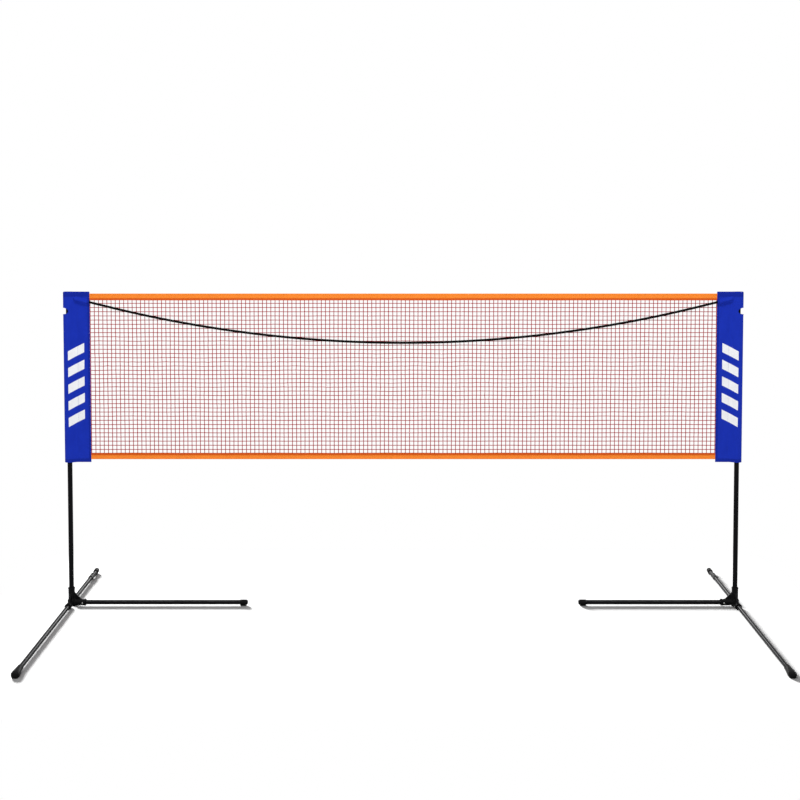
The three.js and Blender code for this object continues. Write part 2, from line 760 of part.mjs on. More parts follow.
function addRearLeg(parent, side) {
  const { group, tipped } = legFrame(headings.rear);
  parent.add(group);
  addPiece(tipped, side + "_rear_outer_leg", legTube("rear", rearOuterEnd), finishes.tube);
  addSnap(tipped, side + "_rear", "rear");
  const innerRadius = rearInnerOuter / 2;
  addTwistLock(
    tipped,
    side + "_rear_collet",
    side + "_rear_collar",
    legRadius,
    innerRadius,
    rearOuterEnd,
    rearCollarLength,
  );
  const footStart = rearReach - roundFootLength;
  const end = footStart + roundFootBore - fit;
  const inner = tube(innerRadius, rearInnerWall, rearInnerStart, end, plainSides);
  addPiece(tipped, side + "_rear_inner_leg", inner, finishes.tube);
  const glide = plug(innerRadius, rearInnerWall, plugFlange, edgeChamfer, smallSides);
  const glideMesh = addPiece(tipped, side + "_rear_leg_glide", glide, finishes.plastic);
  glideMesh.position.z = rearInnerStart - fit;
  glideMesh.rotation.x = Math.PI;
  const foot = roundFoot(innerRadius, rearFootWall);
  addPiece(tipped, side + "_rear_foot", foot, finishes.rubber).position.z = footStart;
}

// One side of the set in its own frame: the post axis at the origin and +X towards the net.
function addSide(parent, side, x, mirror, inwardReach) {
  const group = new THREE.Group();
  group.position.x = x;
  group.scale.x = mirror;
  parent.add(group);
  addPiece(group, side + "_hub", hub(), finishes.plastic);
  addPost(group, side);
  addInwardLeg(group, side, inwardReach);
  addFrontLeg(group, side);
  addRearLeg(group, side);
  addPiece(group, side + "_sleeve", sleeve(), finishes.sleeve);
  const tail = alongCordExit(cordDiameter / 2, cordTailStart, sleeveInnerEdge + cordStub - fit, plainSides);
  addPiece(group, side + "_cord_tail", tail, finishes.cord);
}

// The net with its tapes and ropes, and the free cord in front of it.
function addNet(parent) {
  addPiece(parent, "net", netLattice(), finishes.net);
  const topTape = addPiece(parent, "top_tape", tape(topTapeDepth), finishes.tape);
  topTape.position.z = headRopeHeight;
  const bottomTape = addPiece(parent, "bottom_tape", tape(bottomTapeDepth), finishes.tape);
  bottomTape.position.z = footRopeHeight;
  bottomTape.rotation.x = Math.PI;
  addPiece(parent, "head_rope", rope(), finishes.rope).position.z = headRopeHeight;
  addPiece(parent, "foot_rope", rope(), finishes.rope).position.z = footRopeHeight;
  addPiece(parent, "cord", freeCord(), finishes.cord);
}

const set = new THREE.Group();
set.position.y = (frontReach - rearReach) / 2; // centres the set's footprint on the origin
addSide(set, "left", -postSpacing / 2, 1, leftInwardReach);
addSide(set, "right", postSpacing / 2, -1, rightInwardReach);
addNet(set);

export default set;
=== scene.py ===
# %% [markdown]
# # A badminton net set, dressed around its CAD frame
#
# Two steel tube posts stand on moulded three-legged bases. A fabric sleeve slips over each post and carries
# a square-mesh net between two tapes, and a black cord hangs loosely in front of the net.
#
# The CAD model already holds every piece at its real size, with its joints. This lesson gives the pieces
# their looks: round tubes instead of faceted ones, a moulded hub with soft inner corners, woven cloth,
# knotted string and twisted cord. Every new piece rides on the CAD body that it belongs to, so the set can
# still be raised, telescoped and pressed.

# %% Load the fixed frame
import json
import math

import bpy
import numpy as np
from mathutils import Euler, Matrix, Vector

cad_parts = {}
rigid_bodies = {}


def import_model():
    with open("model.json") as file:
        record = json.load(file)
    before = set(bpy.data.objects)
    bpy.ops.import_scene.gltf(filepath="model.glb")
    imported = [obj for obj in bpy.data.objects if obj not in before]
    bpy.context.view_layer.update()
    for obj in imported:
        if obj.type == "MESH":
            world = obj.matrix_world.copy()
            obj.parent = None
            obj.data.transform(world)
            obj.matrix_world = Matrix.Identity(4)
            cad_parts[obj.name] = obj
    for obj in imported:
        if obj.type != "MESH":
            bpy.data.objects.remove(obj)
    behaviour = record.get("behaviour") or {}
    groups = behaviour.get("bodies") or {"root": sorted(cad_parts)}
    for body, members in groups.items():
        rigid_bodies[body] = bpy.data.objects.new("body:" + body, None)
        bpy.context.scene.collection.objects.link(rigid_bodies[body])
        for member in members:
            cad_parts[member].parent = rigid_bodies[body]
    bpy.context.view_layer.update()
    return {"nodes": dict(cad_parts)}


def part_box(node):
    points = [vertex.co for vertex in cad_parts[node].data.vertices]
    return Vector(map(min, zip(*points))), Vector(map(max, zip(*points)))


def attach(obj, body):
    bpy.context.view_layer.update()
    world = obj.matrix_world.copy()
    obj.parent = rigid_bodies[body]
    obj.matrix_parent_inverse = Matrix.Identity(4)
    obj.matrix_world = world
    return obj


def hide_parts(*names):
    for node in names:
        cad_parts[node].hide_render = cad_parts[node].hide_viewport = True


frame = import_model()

# %% [markdown]
# ## Places taken from the frame
#
# The post axes, the plane of the net and the height of the leg tubes come from the boxes of the CAD nodes,
# so a model with another spacing moves the dressed pieces too. Each side of the set has its own little
# frame: u runs from the post's axis towards the net, which is +X on the left side and -X on the right one.

# %% Places that the pieces share
def middle(cad_node):
    """The middle of a CAD node's box."""
    low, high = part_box(cad_node)
    return (low + high) / 2


SIDES = ("left", "right")
TOWARDS_NET = {"left": 1.0, "right": -1.0}
POST_X = {side: middle(side + "_lower_post").x for side in SIDES}
NET_Y = middle("left_lower_post").y
LEG_HEIGHT = middle("left_inward_leg").z
ALONG_X, ALONG_Y, ALONG_Z = np.eye(3)
print("post axes at x", POST_X, "net plane at y", round(NET_Y, 4), "leg axis at z", round(LEG_HEIGHT, 4))

# %% [markdown]
# ## The camera
#
# The photograph looks straight along +Y from a little above the net, and its posts stay upright. A
# photographer gets that with a shifted lens: the camera points almost level while the picture is taken from
# the lower part of the lens's view. A small part of the downward look is a real tilt here, so that the
# shift stays small enough for the other views, which keep it.

# %% Camera
CAMERA_PLACE = (-0.015, -5.202, 1.935)
CAMERA_TILT_DEG = 2.614
CAMERA_LENS_MM = 53.195
CAMERA_SENSOR_MM = 36.0
CAMERA_SHIFT = -0.2

camera_data = bpy.data.cameras.new("camera")
camera_data.sensor_width = CAMERA_SENSOR_MM
camera_data.lens = CAMERA_LENS_MM
camera_data.shift_y = CAMERA_SHIFT
camera = bpy.data.objects.new("camera", camera_data)
camera.location = CAMERA_PLACE
camera.rotation_euler = Euler((math.radians(90.0 - CAMERA_TILT_DEG), 0.0, 0.0))
bpy.context.scene.collection.objects.link(camera)
bpy.context.scene.camera = camera
bpy.context.scene.view_settings.view_transform = "Standard"
print("camera at", CAMERA_PLACE, "lens", CAMERA_LENS_MM, "mm")

# %% [markdown]
# ## Surfaces from arrays
#
# Every new piece is a sheet of points with a row and a column number: a tube has one row for each ring, a
# sleeve one row for each height. If the points are one numpy array, the faces follow from the numbering
# alone, and a direction that closes on itself simply joins its last line to its first. The row and column
# of each corner also give the UV map, without a seam that runs backwards over the last column.
#
# A shape is kept as three things: its points, its groups of faces and the UV of each face's corners. The
# mesh is made last, and turned right side out by its signed volume, which is negative when the faces look
# inwards.

# %% Grids of faces, and shapes made of them
def grid_faces(rows, columns, wrap_rows=False, wrap_columns=False):
    """Quads of a grid whose points are numbered row by row, and the (row, column) of each quad's corners."""
    i = np.arange(rows if wrap_rows else rows - 1)
    j = np.arange(columns if wrap_columns else columns - 1)
    i, j = (a.ravel() for a in np.meshgrid(i, j, indexing="ij"))
    corner_rows = np.stack([i, i, i + 1, i + 1], axis=-1)
    corner_columns = np.stack([j, j + 1, j + 1, j], axis=-1)
    quads = (corner_rows % rows) * columns + corner_columns % columns
    return quads, np.stack([corner_rows, corner_columns], axis=-1)


def grid_shape(points, along, around, wrap_rows=False, wrap_columns=False, caps=False):
    """A shape from points[row, column]. along and around give the UV's v for each row and u for each column,
    with one value more where that direction wraps. caps closes the first and last row with one face each."""
    rows, columns = points.shape[:2]
    quads, corners = grid_faces(rows, columns, wrap_rows, wrap_columns)
    uv = np.stack([np.asarray(around)[corners[..., 1]], np.asarray(along)[corners[..., 0]]], axis=-1)
    shape = [points.reshape(-1, 3), [quads], [uv]]
    if caps:
        last = (rows - 1) * columns + np.arange(columns)
        shape[1].append(np.stack([np.arange(columns)[::-1], last]))
        shape[2].append(np.zeros((2, columns, 2)))
    return shape


def together(shapes):
    """One shape from several, with the faces of each renumbered."""
    points, groups, uvs, count = [], [], [], 0
    for some_points, some_groups, some_uvs in shapes:
        points.append(some_points)
        groups += [group + count for group in some_groups]
        uvs += some_uvs
        count += len(some_points)
    return [np.concatenate(points), groups, uvs]


def signed_volume(points, groups):
    """The sum over all faces, cut into fans of triangles, of a . (b x c) / 6, measured from the middle."""
    centred = points - points.mean(axis=0)
    total = 0.0
    for group in groups:
        corners = centred[group]
        for k in range(1, group.shape[1] - 1):
            total += np.einsum("ij,ij->", corners[:, 0], np.cross(corners[:, k], corners[:, k + 1]))
    return total / 6


# %% [markdown]
# Edges that turn by more than an angle are shaded sharp. One angle serves most pieces. Mouldings, cords and
# the net's strings have wider ones, so that their fillets, strands and few sides look round.

# %% Shapes become pieces
SHARP_DEG = 35.0
MOULDED_DEG = 50.0
CORD_DEG = 60.0
STRING_DEG = 70.0


def add_piece(name, shape, finish, sharp_deg=SHARP_DEG):
    """A mesh object from a shape, with its faces looking outwards."""
    points, groups, uvs = shape
    if signed_volume(points, groups) < 0:
        groups = [group[:, ::-1] for group in groups]
        uvs = [uv[:, ::-1] for uv in uvs]
    widths = np.concatenate([np.full(len(group), group.shape[1]) for group in groups])
    corners = np.concatenate([group.ravel() for group in groups])
    mesh = bpy.data.meshes.new(name)
    mesh.vertices.add(len(points))
    mesh.vertices.foreach_set("co", points.ravel())
    mesh.loops.add(len(corners))
    mesh.loops.foreach_set("vertex_index", corners.astype(np.int32))
    mesh.polygons.add(len(widths))
    mesh.polygons.foreach_set("loop_start", (np.cumsum(widths) - widths).astype(np.int32))
    layer = mesh.uv_layers.new(name="UVMap")
    layer.data.foreach_set("uv", np.concatenate([uv.ravel() for uv in uvs]))
    mesh.update(calc_edges=True)
    mesh.validate()
    mesh.set_sharp_from_angle(angle=math.radians(sharp_deg))
    if finish is not None:
        mesh.materials.append(finish)
    piece = bpy.data.objects.new(name, mesh)
    bpy.context.scene.collection.objects.link(piece)
    return piece


def keep_modified(piece):
    """Turns what the piece's modifiers make into its own mesh, and drops the modifiers."""
    graph = bpy.context.evaluated_depsgraph_get()
    made = bpy.data.meshes.new_from_object(piece.evaluated_get(graph), depsgraph=graph)
    piece.modifiers.clear()
    piece.data = made
    made.set_sharp_from_angle(angle=math.radians(SHARP_DEG))


def cut_away(piece, cutter):
    """Cuts a solid out of a piece, keeps the result and removes the cutter."""
    step = piece.modifiers.new("cut", "BOOLEAN")
    step.operation = "DIFFERENCE"
    step.solver = "EXACT"
    step.object = cutter
    keep_modified(piece)
    bpy.data.objects.remove(cutter)


def dress(piece, body, slot, *nodes):
    """The piece rides on a CAD body and stands for CAD nodes, which it hides. The slot is not used."""
    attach(piece, body)
    if nodes:
        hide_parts(*nodes)
    print(piece.name, "has", len(piece.data.polygons), "faces")


# %% [markdown]
# A tube, a cord and a thread are all one ring carried along a line. Each ring stands square to the line,
# and a reference direction keeps the rings from twisting: the first axis of a ring is that direction with
# its part along the line taken away, and the second axis is square to both.

# %% Rings carried along a line
def full_turn(sides):
    """Angles in even steps once round."""
    return np.linspace(0, 2 * np.pi, sides, endpoint=False)


def ring_round(sides, first, second):
    """Directions once round: cos a first + sin a second."""
    angle = full_turn(sides)[:, None]
    return np.cos(angle) * first + np.sin(angle) * second


def swept(line, radii, sides, reference, closed=False):
    """point = line + radius (cos a first + sin a second), where first is the reference made square to the
    line and second is the line's direction x first. radii is one number, one a row, or one a row and
    column."""
    if closed:
        forward = np.roll(line, -1, axis=0) - np.roll(line, 1, axis=0)
    else:
        forward = np.gradient(line, axis=0)
    forward = forward / np.linalg.norm(forward, axis=1, keepdims=True)
    first = reference - np.sum(reference * forward, axis=1, keepdims=True) * forward
    first = first / np.linalg.norm(first, axis=1, keepdims=True)
    ring = ring_round(sides, first[:, None, :], np.cross(forward, first)[:, None, :])
    radii = np.asarray(radii, float)
    if radii.ndim == 1:
        radii = radii[:, None]
    return line[:, None, :] + radii[..., None] * ring


def length_along(line):
    """Distance along a line of points from its first one to each."""
    return np.concatenate([[0], np.cumsum(np.linalg.norm(np.diff(line, axis=0), axis=1))])


def tube(line, radii, sides, reference, closed=False):
    """A closed tube along a line. Its UV has u once round the tube, from 0 to 1, and v in metres along it."""
    line = np.asarray(line, float)
    points = swept(line, radii, sides, np.asarray(reference, float), closed)
    along = length_along(np.vstack([line, line[:1]]) if closed else line)
    return grid_shape(points, along, np.linspace(0, 1, sides + 1), closed, True, caps=not closed)


# %% [markdown]
# ## Node helpers for the finishes
#
# A finish is a small tree of shader nodes. The helpers keep each tree readable: one feeds a node's sockets
# by name with values or with other nodes' outputs, one adds a step of arithmetic, and the rest stand for
# the few patterns that come back in every finish. Lengths in a finish are in metres, as they are everywhere
# else.

# %% Helpers for material nodes
def connect(tree, value, socket):
    """Feeds a socket with another node's output or a plain value. A plain color has three numbers."""
    if isinstance(value, bpy.types.NodeSocket):
        tree.links.new(value, socket)
    else:
        socket.default_value = (*value, 1.0) if socket.type == "RGBA" else value


def feed(tree, target, **sockets):
    """Feeds sockets of a node by their names, with _ for a space."""
    for key, value in sockets.items():
        connect(tree, value, target.inputs[key.replace("_", " ")])
    return target


def new_finish(name, color, roughness, specular=0.5, metallic=0.0):
    """A material, its Principled shader and its tree. Values that are even all over are set here."""
    finish = bpy.data.materials.new(name)
    finish.use_nodes = True
    tree = finish.node_tree
    shader = tree.nodes["Principled BSDF"]
    feed(tree, shader, Base_Color=color, Roughness=roughness, Specular_IOR_Level=specular, Metallic=metallic)
    return finish, shader, tree


def node(tree, kind, **sockets):
    """Adds a node and feeds its sockets."""
    return feed(tree, tree.nodes.new(kind), **sockets)


def calc(tree, operation, *terms):
    """One step of arithmetic on sockets and numbers."""
    step = tree.nodes.new("ShaderNodeMath")
    step.operation = operation
    for term, socket in zip(terms, step.inputs):
        connect(tree, term, socket)
    return step.outputs[0]


def object_place(tree):
    """The place on the piece, which is the place in the shared frame at rest."""
    return node(tree, "ShaderNodeTexCoord").outputs["Object"]


def uv_place(tree):
    """The two parts of the UV map."""
    split = node(tree, "ShaderNodeSeparateXYZ", Vector=node(tree, "ShaderNodeUVMap").outputs["UV"])
    return split.outputs["X"], split.outputs["Y"]


def noise(tree, place, scale, detail=2.0, roughness=0.5):
    """Noise around 0.5, with scale in lumps per metre."""
    lumps = node(tree, "ShaderNodeTexNoise", Vector=place, Scale=scale, Detail=detail, Roughness=roughness)
    return lumps.outputs["Fac"]


def ramp(tree, value, start, end, low=0.0, high=1.0):
    """A straight rise from low at start to high at end, level outside."""
    rise = node(tree, "ShaderNodeMapRange", Value=value, From_Min=start, From_Max=end)
    return feed(tree, rise, To_Min=low, To_Max=high).outputs["Result"]


def two_colors(tree, factor, first, second):
    """The first color where the factor is 0, the second where it is 1. Either may be a socket."""
    mix = tree.nodes.new("ShaderNodeMix")
    mix.data_type = "RGBA"
    connect(tree, factor, mix.inputs["Factor"])
    for name, color in (("A", first), ("B", second)):
        connect(tree, color, next(s for s in mix.inputs if s.name == name and s.type == "RGBA"))
    return next(s for s in mix.outputs if s.type == "RGBA")


def weave(tree, across, up, across_pitch, up_pitch):
    """A plain weave, 1 on its crests and 0 in its gaps: (1 + sin (across) x sin (up)) / 2."""
    warp = calc(tree, "SINE", calc(tree, "MULTIPLY", across, 2 * math.pi / across_pitch))
    weft = calc(tree, "SINE", calc(tree, "MULTIPLY", up, 2 * math.pi / up_pitch))
    return calc(tree, "MULTIPLY_ADD", calc(tree, "MULTIPLY", warp, weft), 0.5, 0.5)


def relief(tree, shader, height, depth):
    """Bump from a height between 0 and 1 that stands for a relief of this depth."""
    bump = node(tree, "ShaderNodeBump", Height=height, Distance=depth, Strength=1.0)
    feed(tree, shader, Normal=bump.outputs["Normal"])


# %% [markdown]
# ## The black cord
#
# The cord is sewn into both sleeves just under the top tape and hangs between them. It is a laid cord:
# three strands twisted round each other. A curve with a round bevel would give a smooth hose, so the cord
# is a tube of rings whose radius swells three times round each ring, and the swelling turns as it goes
# along. The route repeats the points of the CAD cord, and a smooth curve runs through them.

# %% The cord's route
CORD_ROUTE = [
    (1.429, 1.4053), (1.4, 1.3983), (1.32, 1.3785), (1.2, 1.3507), (1.05, 1.32), (0.9, 1.2935),
    (0.75, 1.271), (0.6, 1.2527), (0.45, 1.2384), (0.3, 1.2282), (0.15, 1.222), (0.0, 1.22),
]
CORD_FORWARD = 0.007
CORD_DIAMETER = 0.011
CORD_STEP = 0.0026


def smooth_values(at, places, values):
    """Rows of values on a smooth curve through (place, row) pairs. Between two places it is a cubic, the
    Hermite blend of both rows and of the slopes there, and a place's slope is that of its two
    neighbours."""
    slopes = np.gradient(values, places, axis=0)
    piece = np.clip(np.searchsorted(places, at, side="right") - 1, 0, len(places) - 2)
    span = (places[piece + 1] - places[piece])[:, None]
    t = (at - places[piece])[:, None] / span
    start = (2 * t**3 - 3 * t**2 + 1) * values[piece] + (t**3 - 2 * t**2 + t) * span * slopes[piece]
    return start + (3 * t**2 - 2 * t**3) * values[piece + 1] + (t**3 - t**2) * span * slopes[piece + 1]


cord_left = [(-out, NET_Y - CORD_FORWARD, height) for out, height in CORD_ROUTE]
cord_right = [(-x, y, z) for x, y, z in cord_left[-2::-1]]
route = np.array(cord_left + cord_right)
route_places = length_along(route)
cord_steps = round(route_places[-1] / CORD_STEP)
cord_line = smooth_values(np.linspace(0, route_places[-1], cord_steps + 1), route_places, route)

# %% The cord's surface
STRANDS = 3
STRAND_VALLEY = 0.15
CORD_LAY = 0.036
CORD_SIDES = 24


def laid(line, diameter, lay_length, sides):
    """A tube of three strands: radius = half the diameter less a valley three times round, (1 - |cos 3a/2|)^2
    deep, where the angle a turns once in every lay length."""
    turned_angle = full_turn(sides) - 2 * np.pi * length_along(line)[:, None] / lay_length
    valley = (1 - np.abs(np.cos(STRANDS * turned_angle / 2))) ** 2
    return tube(line, diameter / 2 * (1 - STRAND_VALLEY * valley), sides, ALONG_Y)


# %% [markdown]
# The cord's finish is a matt black yarn. Its strands already stand in the mesh, so the material only adds
# what is finer: the yarns inside a strand, which cross it at a steeper slant. The same tree serves the
# ropes in the tapes, the net's string and the sewing threads, each with its own colors and pitch.

# %% Yarn finish
YARN_ROUGHNESS = 0.6
FUZZ_PER_METRE = 700.0
FUZZ_SHARE = 0.5
SHADE_OF_HEIGHT = 0.67


def yarn_finish(name, valley, crest, yarns, lay, depth, specular=0.1):
    """Slanting ridges: a sine of (yarns x turns round) + (metres along / lay), broken up by fine noise."""
    finish, shader, tree = new_finish(name, crest, YARN_ROUGHNESS, specular)
    turns, along = uv_place(tree)
    around = calc(tree, "MULTIPLY", turns, yarns * 2 * math.pi)
    slanted = calc(tree, "MULTIPLY_ADD", along, 2 * math.pi / lay, around)
    yarn = calc(tree, "MULTIPLY_ADD", calc(tree, "SINE", slanted), 0.5, 0.5)
    fuzz = noise(tree, object_place(tree), FUZZ_PER_METRE)
    height = calc(tree, "MULTIPLY_ADD", fuzz, FUZZ_SHARE, yarn)
    relief(tree, shader, height, depth)
    # Painted shade and highlight: the valley color goes where the yarns sink and the crest color where they
    # rise.
    shade = calc(tree, "MULTIPLY", height, SHADE_OF_HEIGHT)
    feed(tree, shader, Base_Color=two_colors(tree, shade, valley, crest))
    return finish


BLACK_CORD = yarn_finish(
    "black_cord", valley=(0.001, 0.001, 0.0013), crest=(0.005, 0.005, 0.0055),
    yarns=15, lay=0.0035, depth=0.0003, specular=0.04,
)
cord_shape = laid(cord_line, CORD_DIAMETER, CORD_LAY, CORD_SIDES)
cord = add_piece("hanging_cord", cord_shape, BLACK_CORD, CORD_DEG)
dress(cord, "net_carriage", "black_cord", "cord")


# %% The ends of the cord, sewn into the sleeves
def cord_end(side):
    """The tail goes straight on into the sleeve from where the cord leaves it, up to its sewn-in end."""
    low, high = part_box(side + "_cord_tail")
    inner_x, outer_x = (low.x, high.x) if side == "left" else (high.x, low.x)
    inner = (inner_x, NET_Y - CORD_FORWARD, high.z - CORD_DIAMETER / 2)
    outer = (outer_x, NET_Y - CORD_FORWARD, low.z + CORD_DIAMETER / 2)
    steps = round(abs(inner_x - outer_x) / CORD_STEP)
    return laid(np.linspace(inner, outer, steps + 1), CORD_DIAMETER, CORD_LAY, CORD_SIDES)


for side in SIDES:
    tail = add_piece(side + "_sewn_cord_end", cord_end(side), BLACK_CORD, CORD_DEG)
    dress(tail, "net_carriage", "black_cord", side + "_cord_tail")


# %% [markdown]
# ## The net
#
# A badminton net is knotted from thin string into square meshes of about 19 mm. A picture of a net on a
# flat sheet would look flat from the side, so every string is a real tube. The crossings come first: an
# even grid in which each knot sits a fraction of a millimetre off its place, as knots tied by a machine do,
# while the whole net bellies back a little between its tapes. The strings then run straight from knot to
# knot.
#
# The net isn't declared as a sheet. A sheet's cloth area is checked against its flat cut, and a mesh of
# strings has only a quarter of that area.

# %% Where the strings cross
net_low, net_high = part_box("net")
STRING_RADIUS = 0.0017
UPRIGHT_STRINGS = 150
LEVEL_STRINGS = 40
BELLY = 0.0016
KNOT_SCATTER = 0.00035
KNOT_DRIFT = 0.0006
SCATTER_SEED = 19


def crossings():
    """crossing[i, k] of upright i and level k: an even grid + scatter + a slow drift, and back by belly x
    sin(pi height) x waves. Everything fades out at the tapes, so the strings meet the ropes exactly."""
    chance = np.random.default_rng(SCATTER_SEED)
    scatter = chance.normal(0, KNOT_SCATTER, (UPRIGHT_STRINGS, LEVEL_STRINGS, 2))
    across = np.linspace(net_low.x + STRING_RADIUS, net_high.x - STRING_RADIUS, UPRIGHT_STRINGS)
    x, z = np.meshgrid(across, np.linspace(net_low.z, net_high.z, LEVEL_STRINGS), indexing="ij")
    rise = (z - net_low.z) / (net_high.z - net_low.z)
    fade = np.sin(np.pi * rise)
    fade[[0, -1]] = 0
    waves = 0.5 + 0.25 * np.sin(4.1 * x + 1.3) + 0.25 * np.sin(7.7 * x + 5 * z)
    y = NET_Y + BELLY * fade * waves
    drift = KNOT_DRIFT * np.sin(23 * x + 9 * z)
    return np.stack([x + fade * (scatter[..., 0] + drift), y, z + fade * (scatter[..., 1] - drift)], axis=-1)


NET_CROSSINGS = crossings()
mesh_width = float(NET_CROSSINGS[1, 0, 0] - NET_CROSSINGS[0, 0, 0])
print("a mesh is", round(mesh_width * 1000, 2), "mm wide")

# %% Strings
STRING_SIDES = 6


def strings(lines, first, second, radius):
    """Tubes round many lines[string, step] at once: point = line + radius (cos a first + sin a second),
    with one radius for all or one a step."""
    count, steps = lines.shape[:2]
    ring = ring_round(STRING_SIDES, first, second)
    radius = np.broadcast_to(radius, steps)[:, None, None]
    quads, corners = grid_faces(steps, STRING_SIDES, wrap_columns=True)
    first_corner = (np.arange(count) * steps * STRING_SIDES)[:, None, None]
    along = np.linspace(0, np.linalg.norm(lines[0, -1] - lines[0, 0]), steps)
    uv = np.stack([corners[..., 1] / STRING_SIDES, along[corners[..., 0]]], axis=-1)
    sides = np.arange(STRING_SIDES)
    ends = first_corner + np.stack([sides[::-1], (steps - 1) * STRING_SIDES + sides])
    return [
        (lines[:, :, None, :] + radius * ring).reshape(-1, 3),
        [(quads + first_corner).reshape(-1, 4), ends.reshape(-1, STRING_SIDES)],
        [np.tile(uv, (count, 1, 1)), np.zeros((2 * count, STRING_SIDES, 2))],
    ]


NET_STRING = yarn_finish(
    "net_string", valley=(0.24, 0.004, 0.008), crest=(0.52, 0.012, 0.022), yarns=2, lay=0.004, depth=0.0003
)
uprights = strings(NET_CROSSINGS, ALONG_X, ALONG_Y, STRING_RADIUS)
levels = strings(NET_CROSSINGS.transpose(1, 0, 2)[1:-1], ALONG_Y, ALONG_Z, STRING_RADIUS)
net = add_piece("net_strings", together([uprights, levels]), NET_STRING, STRING_DEG)
dress(net, "net_carriage", "net_string", "net")

# %% [markdown]
# A knot is a lump where one string loops round the other. It is repeated thousands of times, so it has only
# the twenty faces of an icosahedron, stretched along the diagonal of the mesh that the loop lies in.
# Neighbouring knots lean opposite ways, and each is turned a little by chance.

# %% Knots
KNOT_LONG = 0.0031
KNOT_WIDE = 0.0022
KNOT_DEEP = 0.0019
KNOT_BACK = 0.0006
KNOT_TURN = 0.2
KNOT_SIZES = 0.07
KNOT_SEED = 31
ROWS_IN_TAPE = 2


def icosahedron():
    """The 12 corners (0, +-1, +-g), (+-1, +-g, 0), (+-g, 0, +-1) over their distance from the middle, where
    g is the golden ratio, and the 20 triangles of corners that lie within one edge's length, 2, of each
    other."""
    g = (1 + 5**0.5) / 2
    flat = [(0, a, b * g) for a in (-1, 1) for b in (-1, 1)]
    corners = np.array(flat + [(z, x, y) for x, y, z in flat] + [(y, z, x) for x, y, z in flat], float)
    near = np.linalg.norm(corners[:, None] - corners[None], axis=-1) < 2.1
    faces = []
    for a in range(12):
        for b in range(a + 1, 12):
            for c in range(b + 1, 12):
                if near[a, b] and near[b, c] and near[a, c]:
                    outward = np.dot(corners[a], np.cross(corners[b], corners[c])) > 0
                    faces.append((a, b, c) if outward else (a, c, b))
    return corners / np.linalg.norm(corners[0]), np.array(faces)


def knots(places, leans):
    """Each corner = place + R (long, deep, wide) x unit corner, where R turns about Y by 45 degrees and a
    chance angle, to the left or to the right as leans says."""
    corners, faces = icosahedron()
    chance = np.random.default_rng(KNOT_SEED)
    angle = leans * math.pi / 4 + chance.normal(0, KNOT_TURN, len(places))
    size = chance.normal(1, KNOT_SIZES, (len(places), 1, 1))
    x, y, z = np.moveaxis(corners * (KNOT_LONG, KNOT_DEEP, KNOT_WIDE) * size, -1, 0)
    cos, sin = np.cos(angle)[:, None], np.sin(angle)[:, None]
    turned = np.stack([cos * x - sin * z, y + KNOT_BACK, sin * x + cos * z], axis=-1)
    numbered = faces + len(corners) * np.arange(len(places))[:, None, None]
    no_uv = np.zeros((numbered.size // 3, 3, 2))
    return [(places[:, None, :] + turned).reshape(-1, 3), [numbered.reshape(-1, 3)], [no_uv]]


open_rows = np.arange(ROWS_IN_TAPE, LEVEL_STRINGS - ROWS_IN_TAPE)
row, column = np.meshgrid(np.arange(UPRIGHT_STRINGS), open_rows, indexing="ij")
leans = np.where((row + column) % 2 == 0, 1.0, -1.0).ravel()
knot_shape = knots(NET_CROSSINGS[:, open_rows].reshape(-1, 3), leans)
dress(add_piece("net_knots", knot_shape, NET_STRING, STRING_DEG), "net_carriage", "net_string")

# %% [markdown]
# ## The tapes and their ropes
#
# The top tape is a strip of orange webbing, folded over the head rope and sewn to itself below it with a
# zigzag of thread, with the net's edge caught in between. The bottom tape is the same strip the other way
# up. The section is one closed loop: down the outside of the fold and back along its inside. Carried along
# the net, it opens a little at its free edge, more in some places than in others, as sewn webbing does.

# %% The tape's section
TAPE_WALL = 0.001
TAPE_HALF = 0.0026
FOLD_RADIUS = 0.0038
TAPE_STEP = 0.005
FOLD_POINTS = 9
WALL_POINTS = 9


def tape_side(half, radius, reach):
    """Half of one face, from the free edge to the fold's crest, as (depth, reach): a straight wall at the
    half depth, then a circle round the rope. Reach is measured from the rope towards the free edge."""
    start = math.asin(half / radius)
    angle = np.linspace(start, math.pi, FOLD_POINTS)
    wall = np.linspace(reach - TAPE_WALL / 3, radius * math.cos(start), WALL_POINTS, endpoint=False)
    depth = np.concatenate([np.full(WALL_POINTS, half), radius * np.sin(angle)])
    return np.stack([depth, np.concatenate([wall, radius * np.cos(angle)])], axis=-1)


def tape_section(reach):
    """The closed loop of the section: outside of one wall and of the other, then the inside back again."""
    outside = tape_side(TAPE_HALF, FOLD_RADIUS, reach)
    inside = tape_side(TAPE_HALF - TAPE_WALL, FOLD_RADIUS - TAPE_WALL, reach)
    hem = np.array([[TAPE_HALF - TAPE_WALL / 2, reach]])
    mirror = (-1, 1)
    loop = [hem, outside, outside[-2::-1] * mirror, hem * mirror, inside * mirror, inside[-2::-1]]
    return np.concatenate(loop)


def tape_splay(x, phase):
    """How far the walls stand open at their free edge, from 0.3 to 1.3 mm, in slow and quick waves."""
    return 0.0008 + 0.0003 * np.sin(9 * x + phase) + 0.0002 * np.sin(61 * x + 3 * phase)


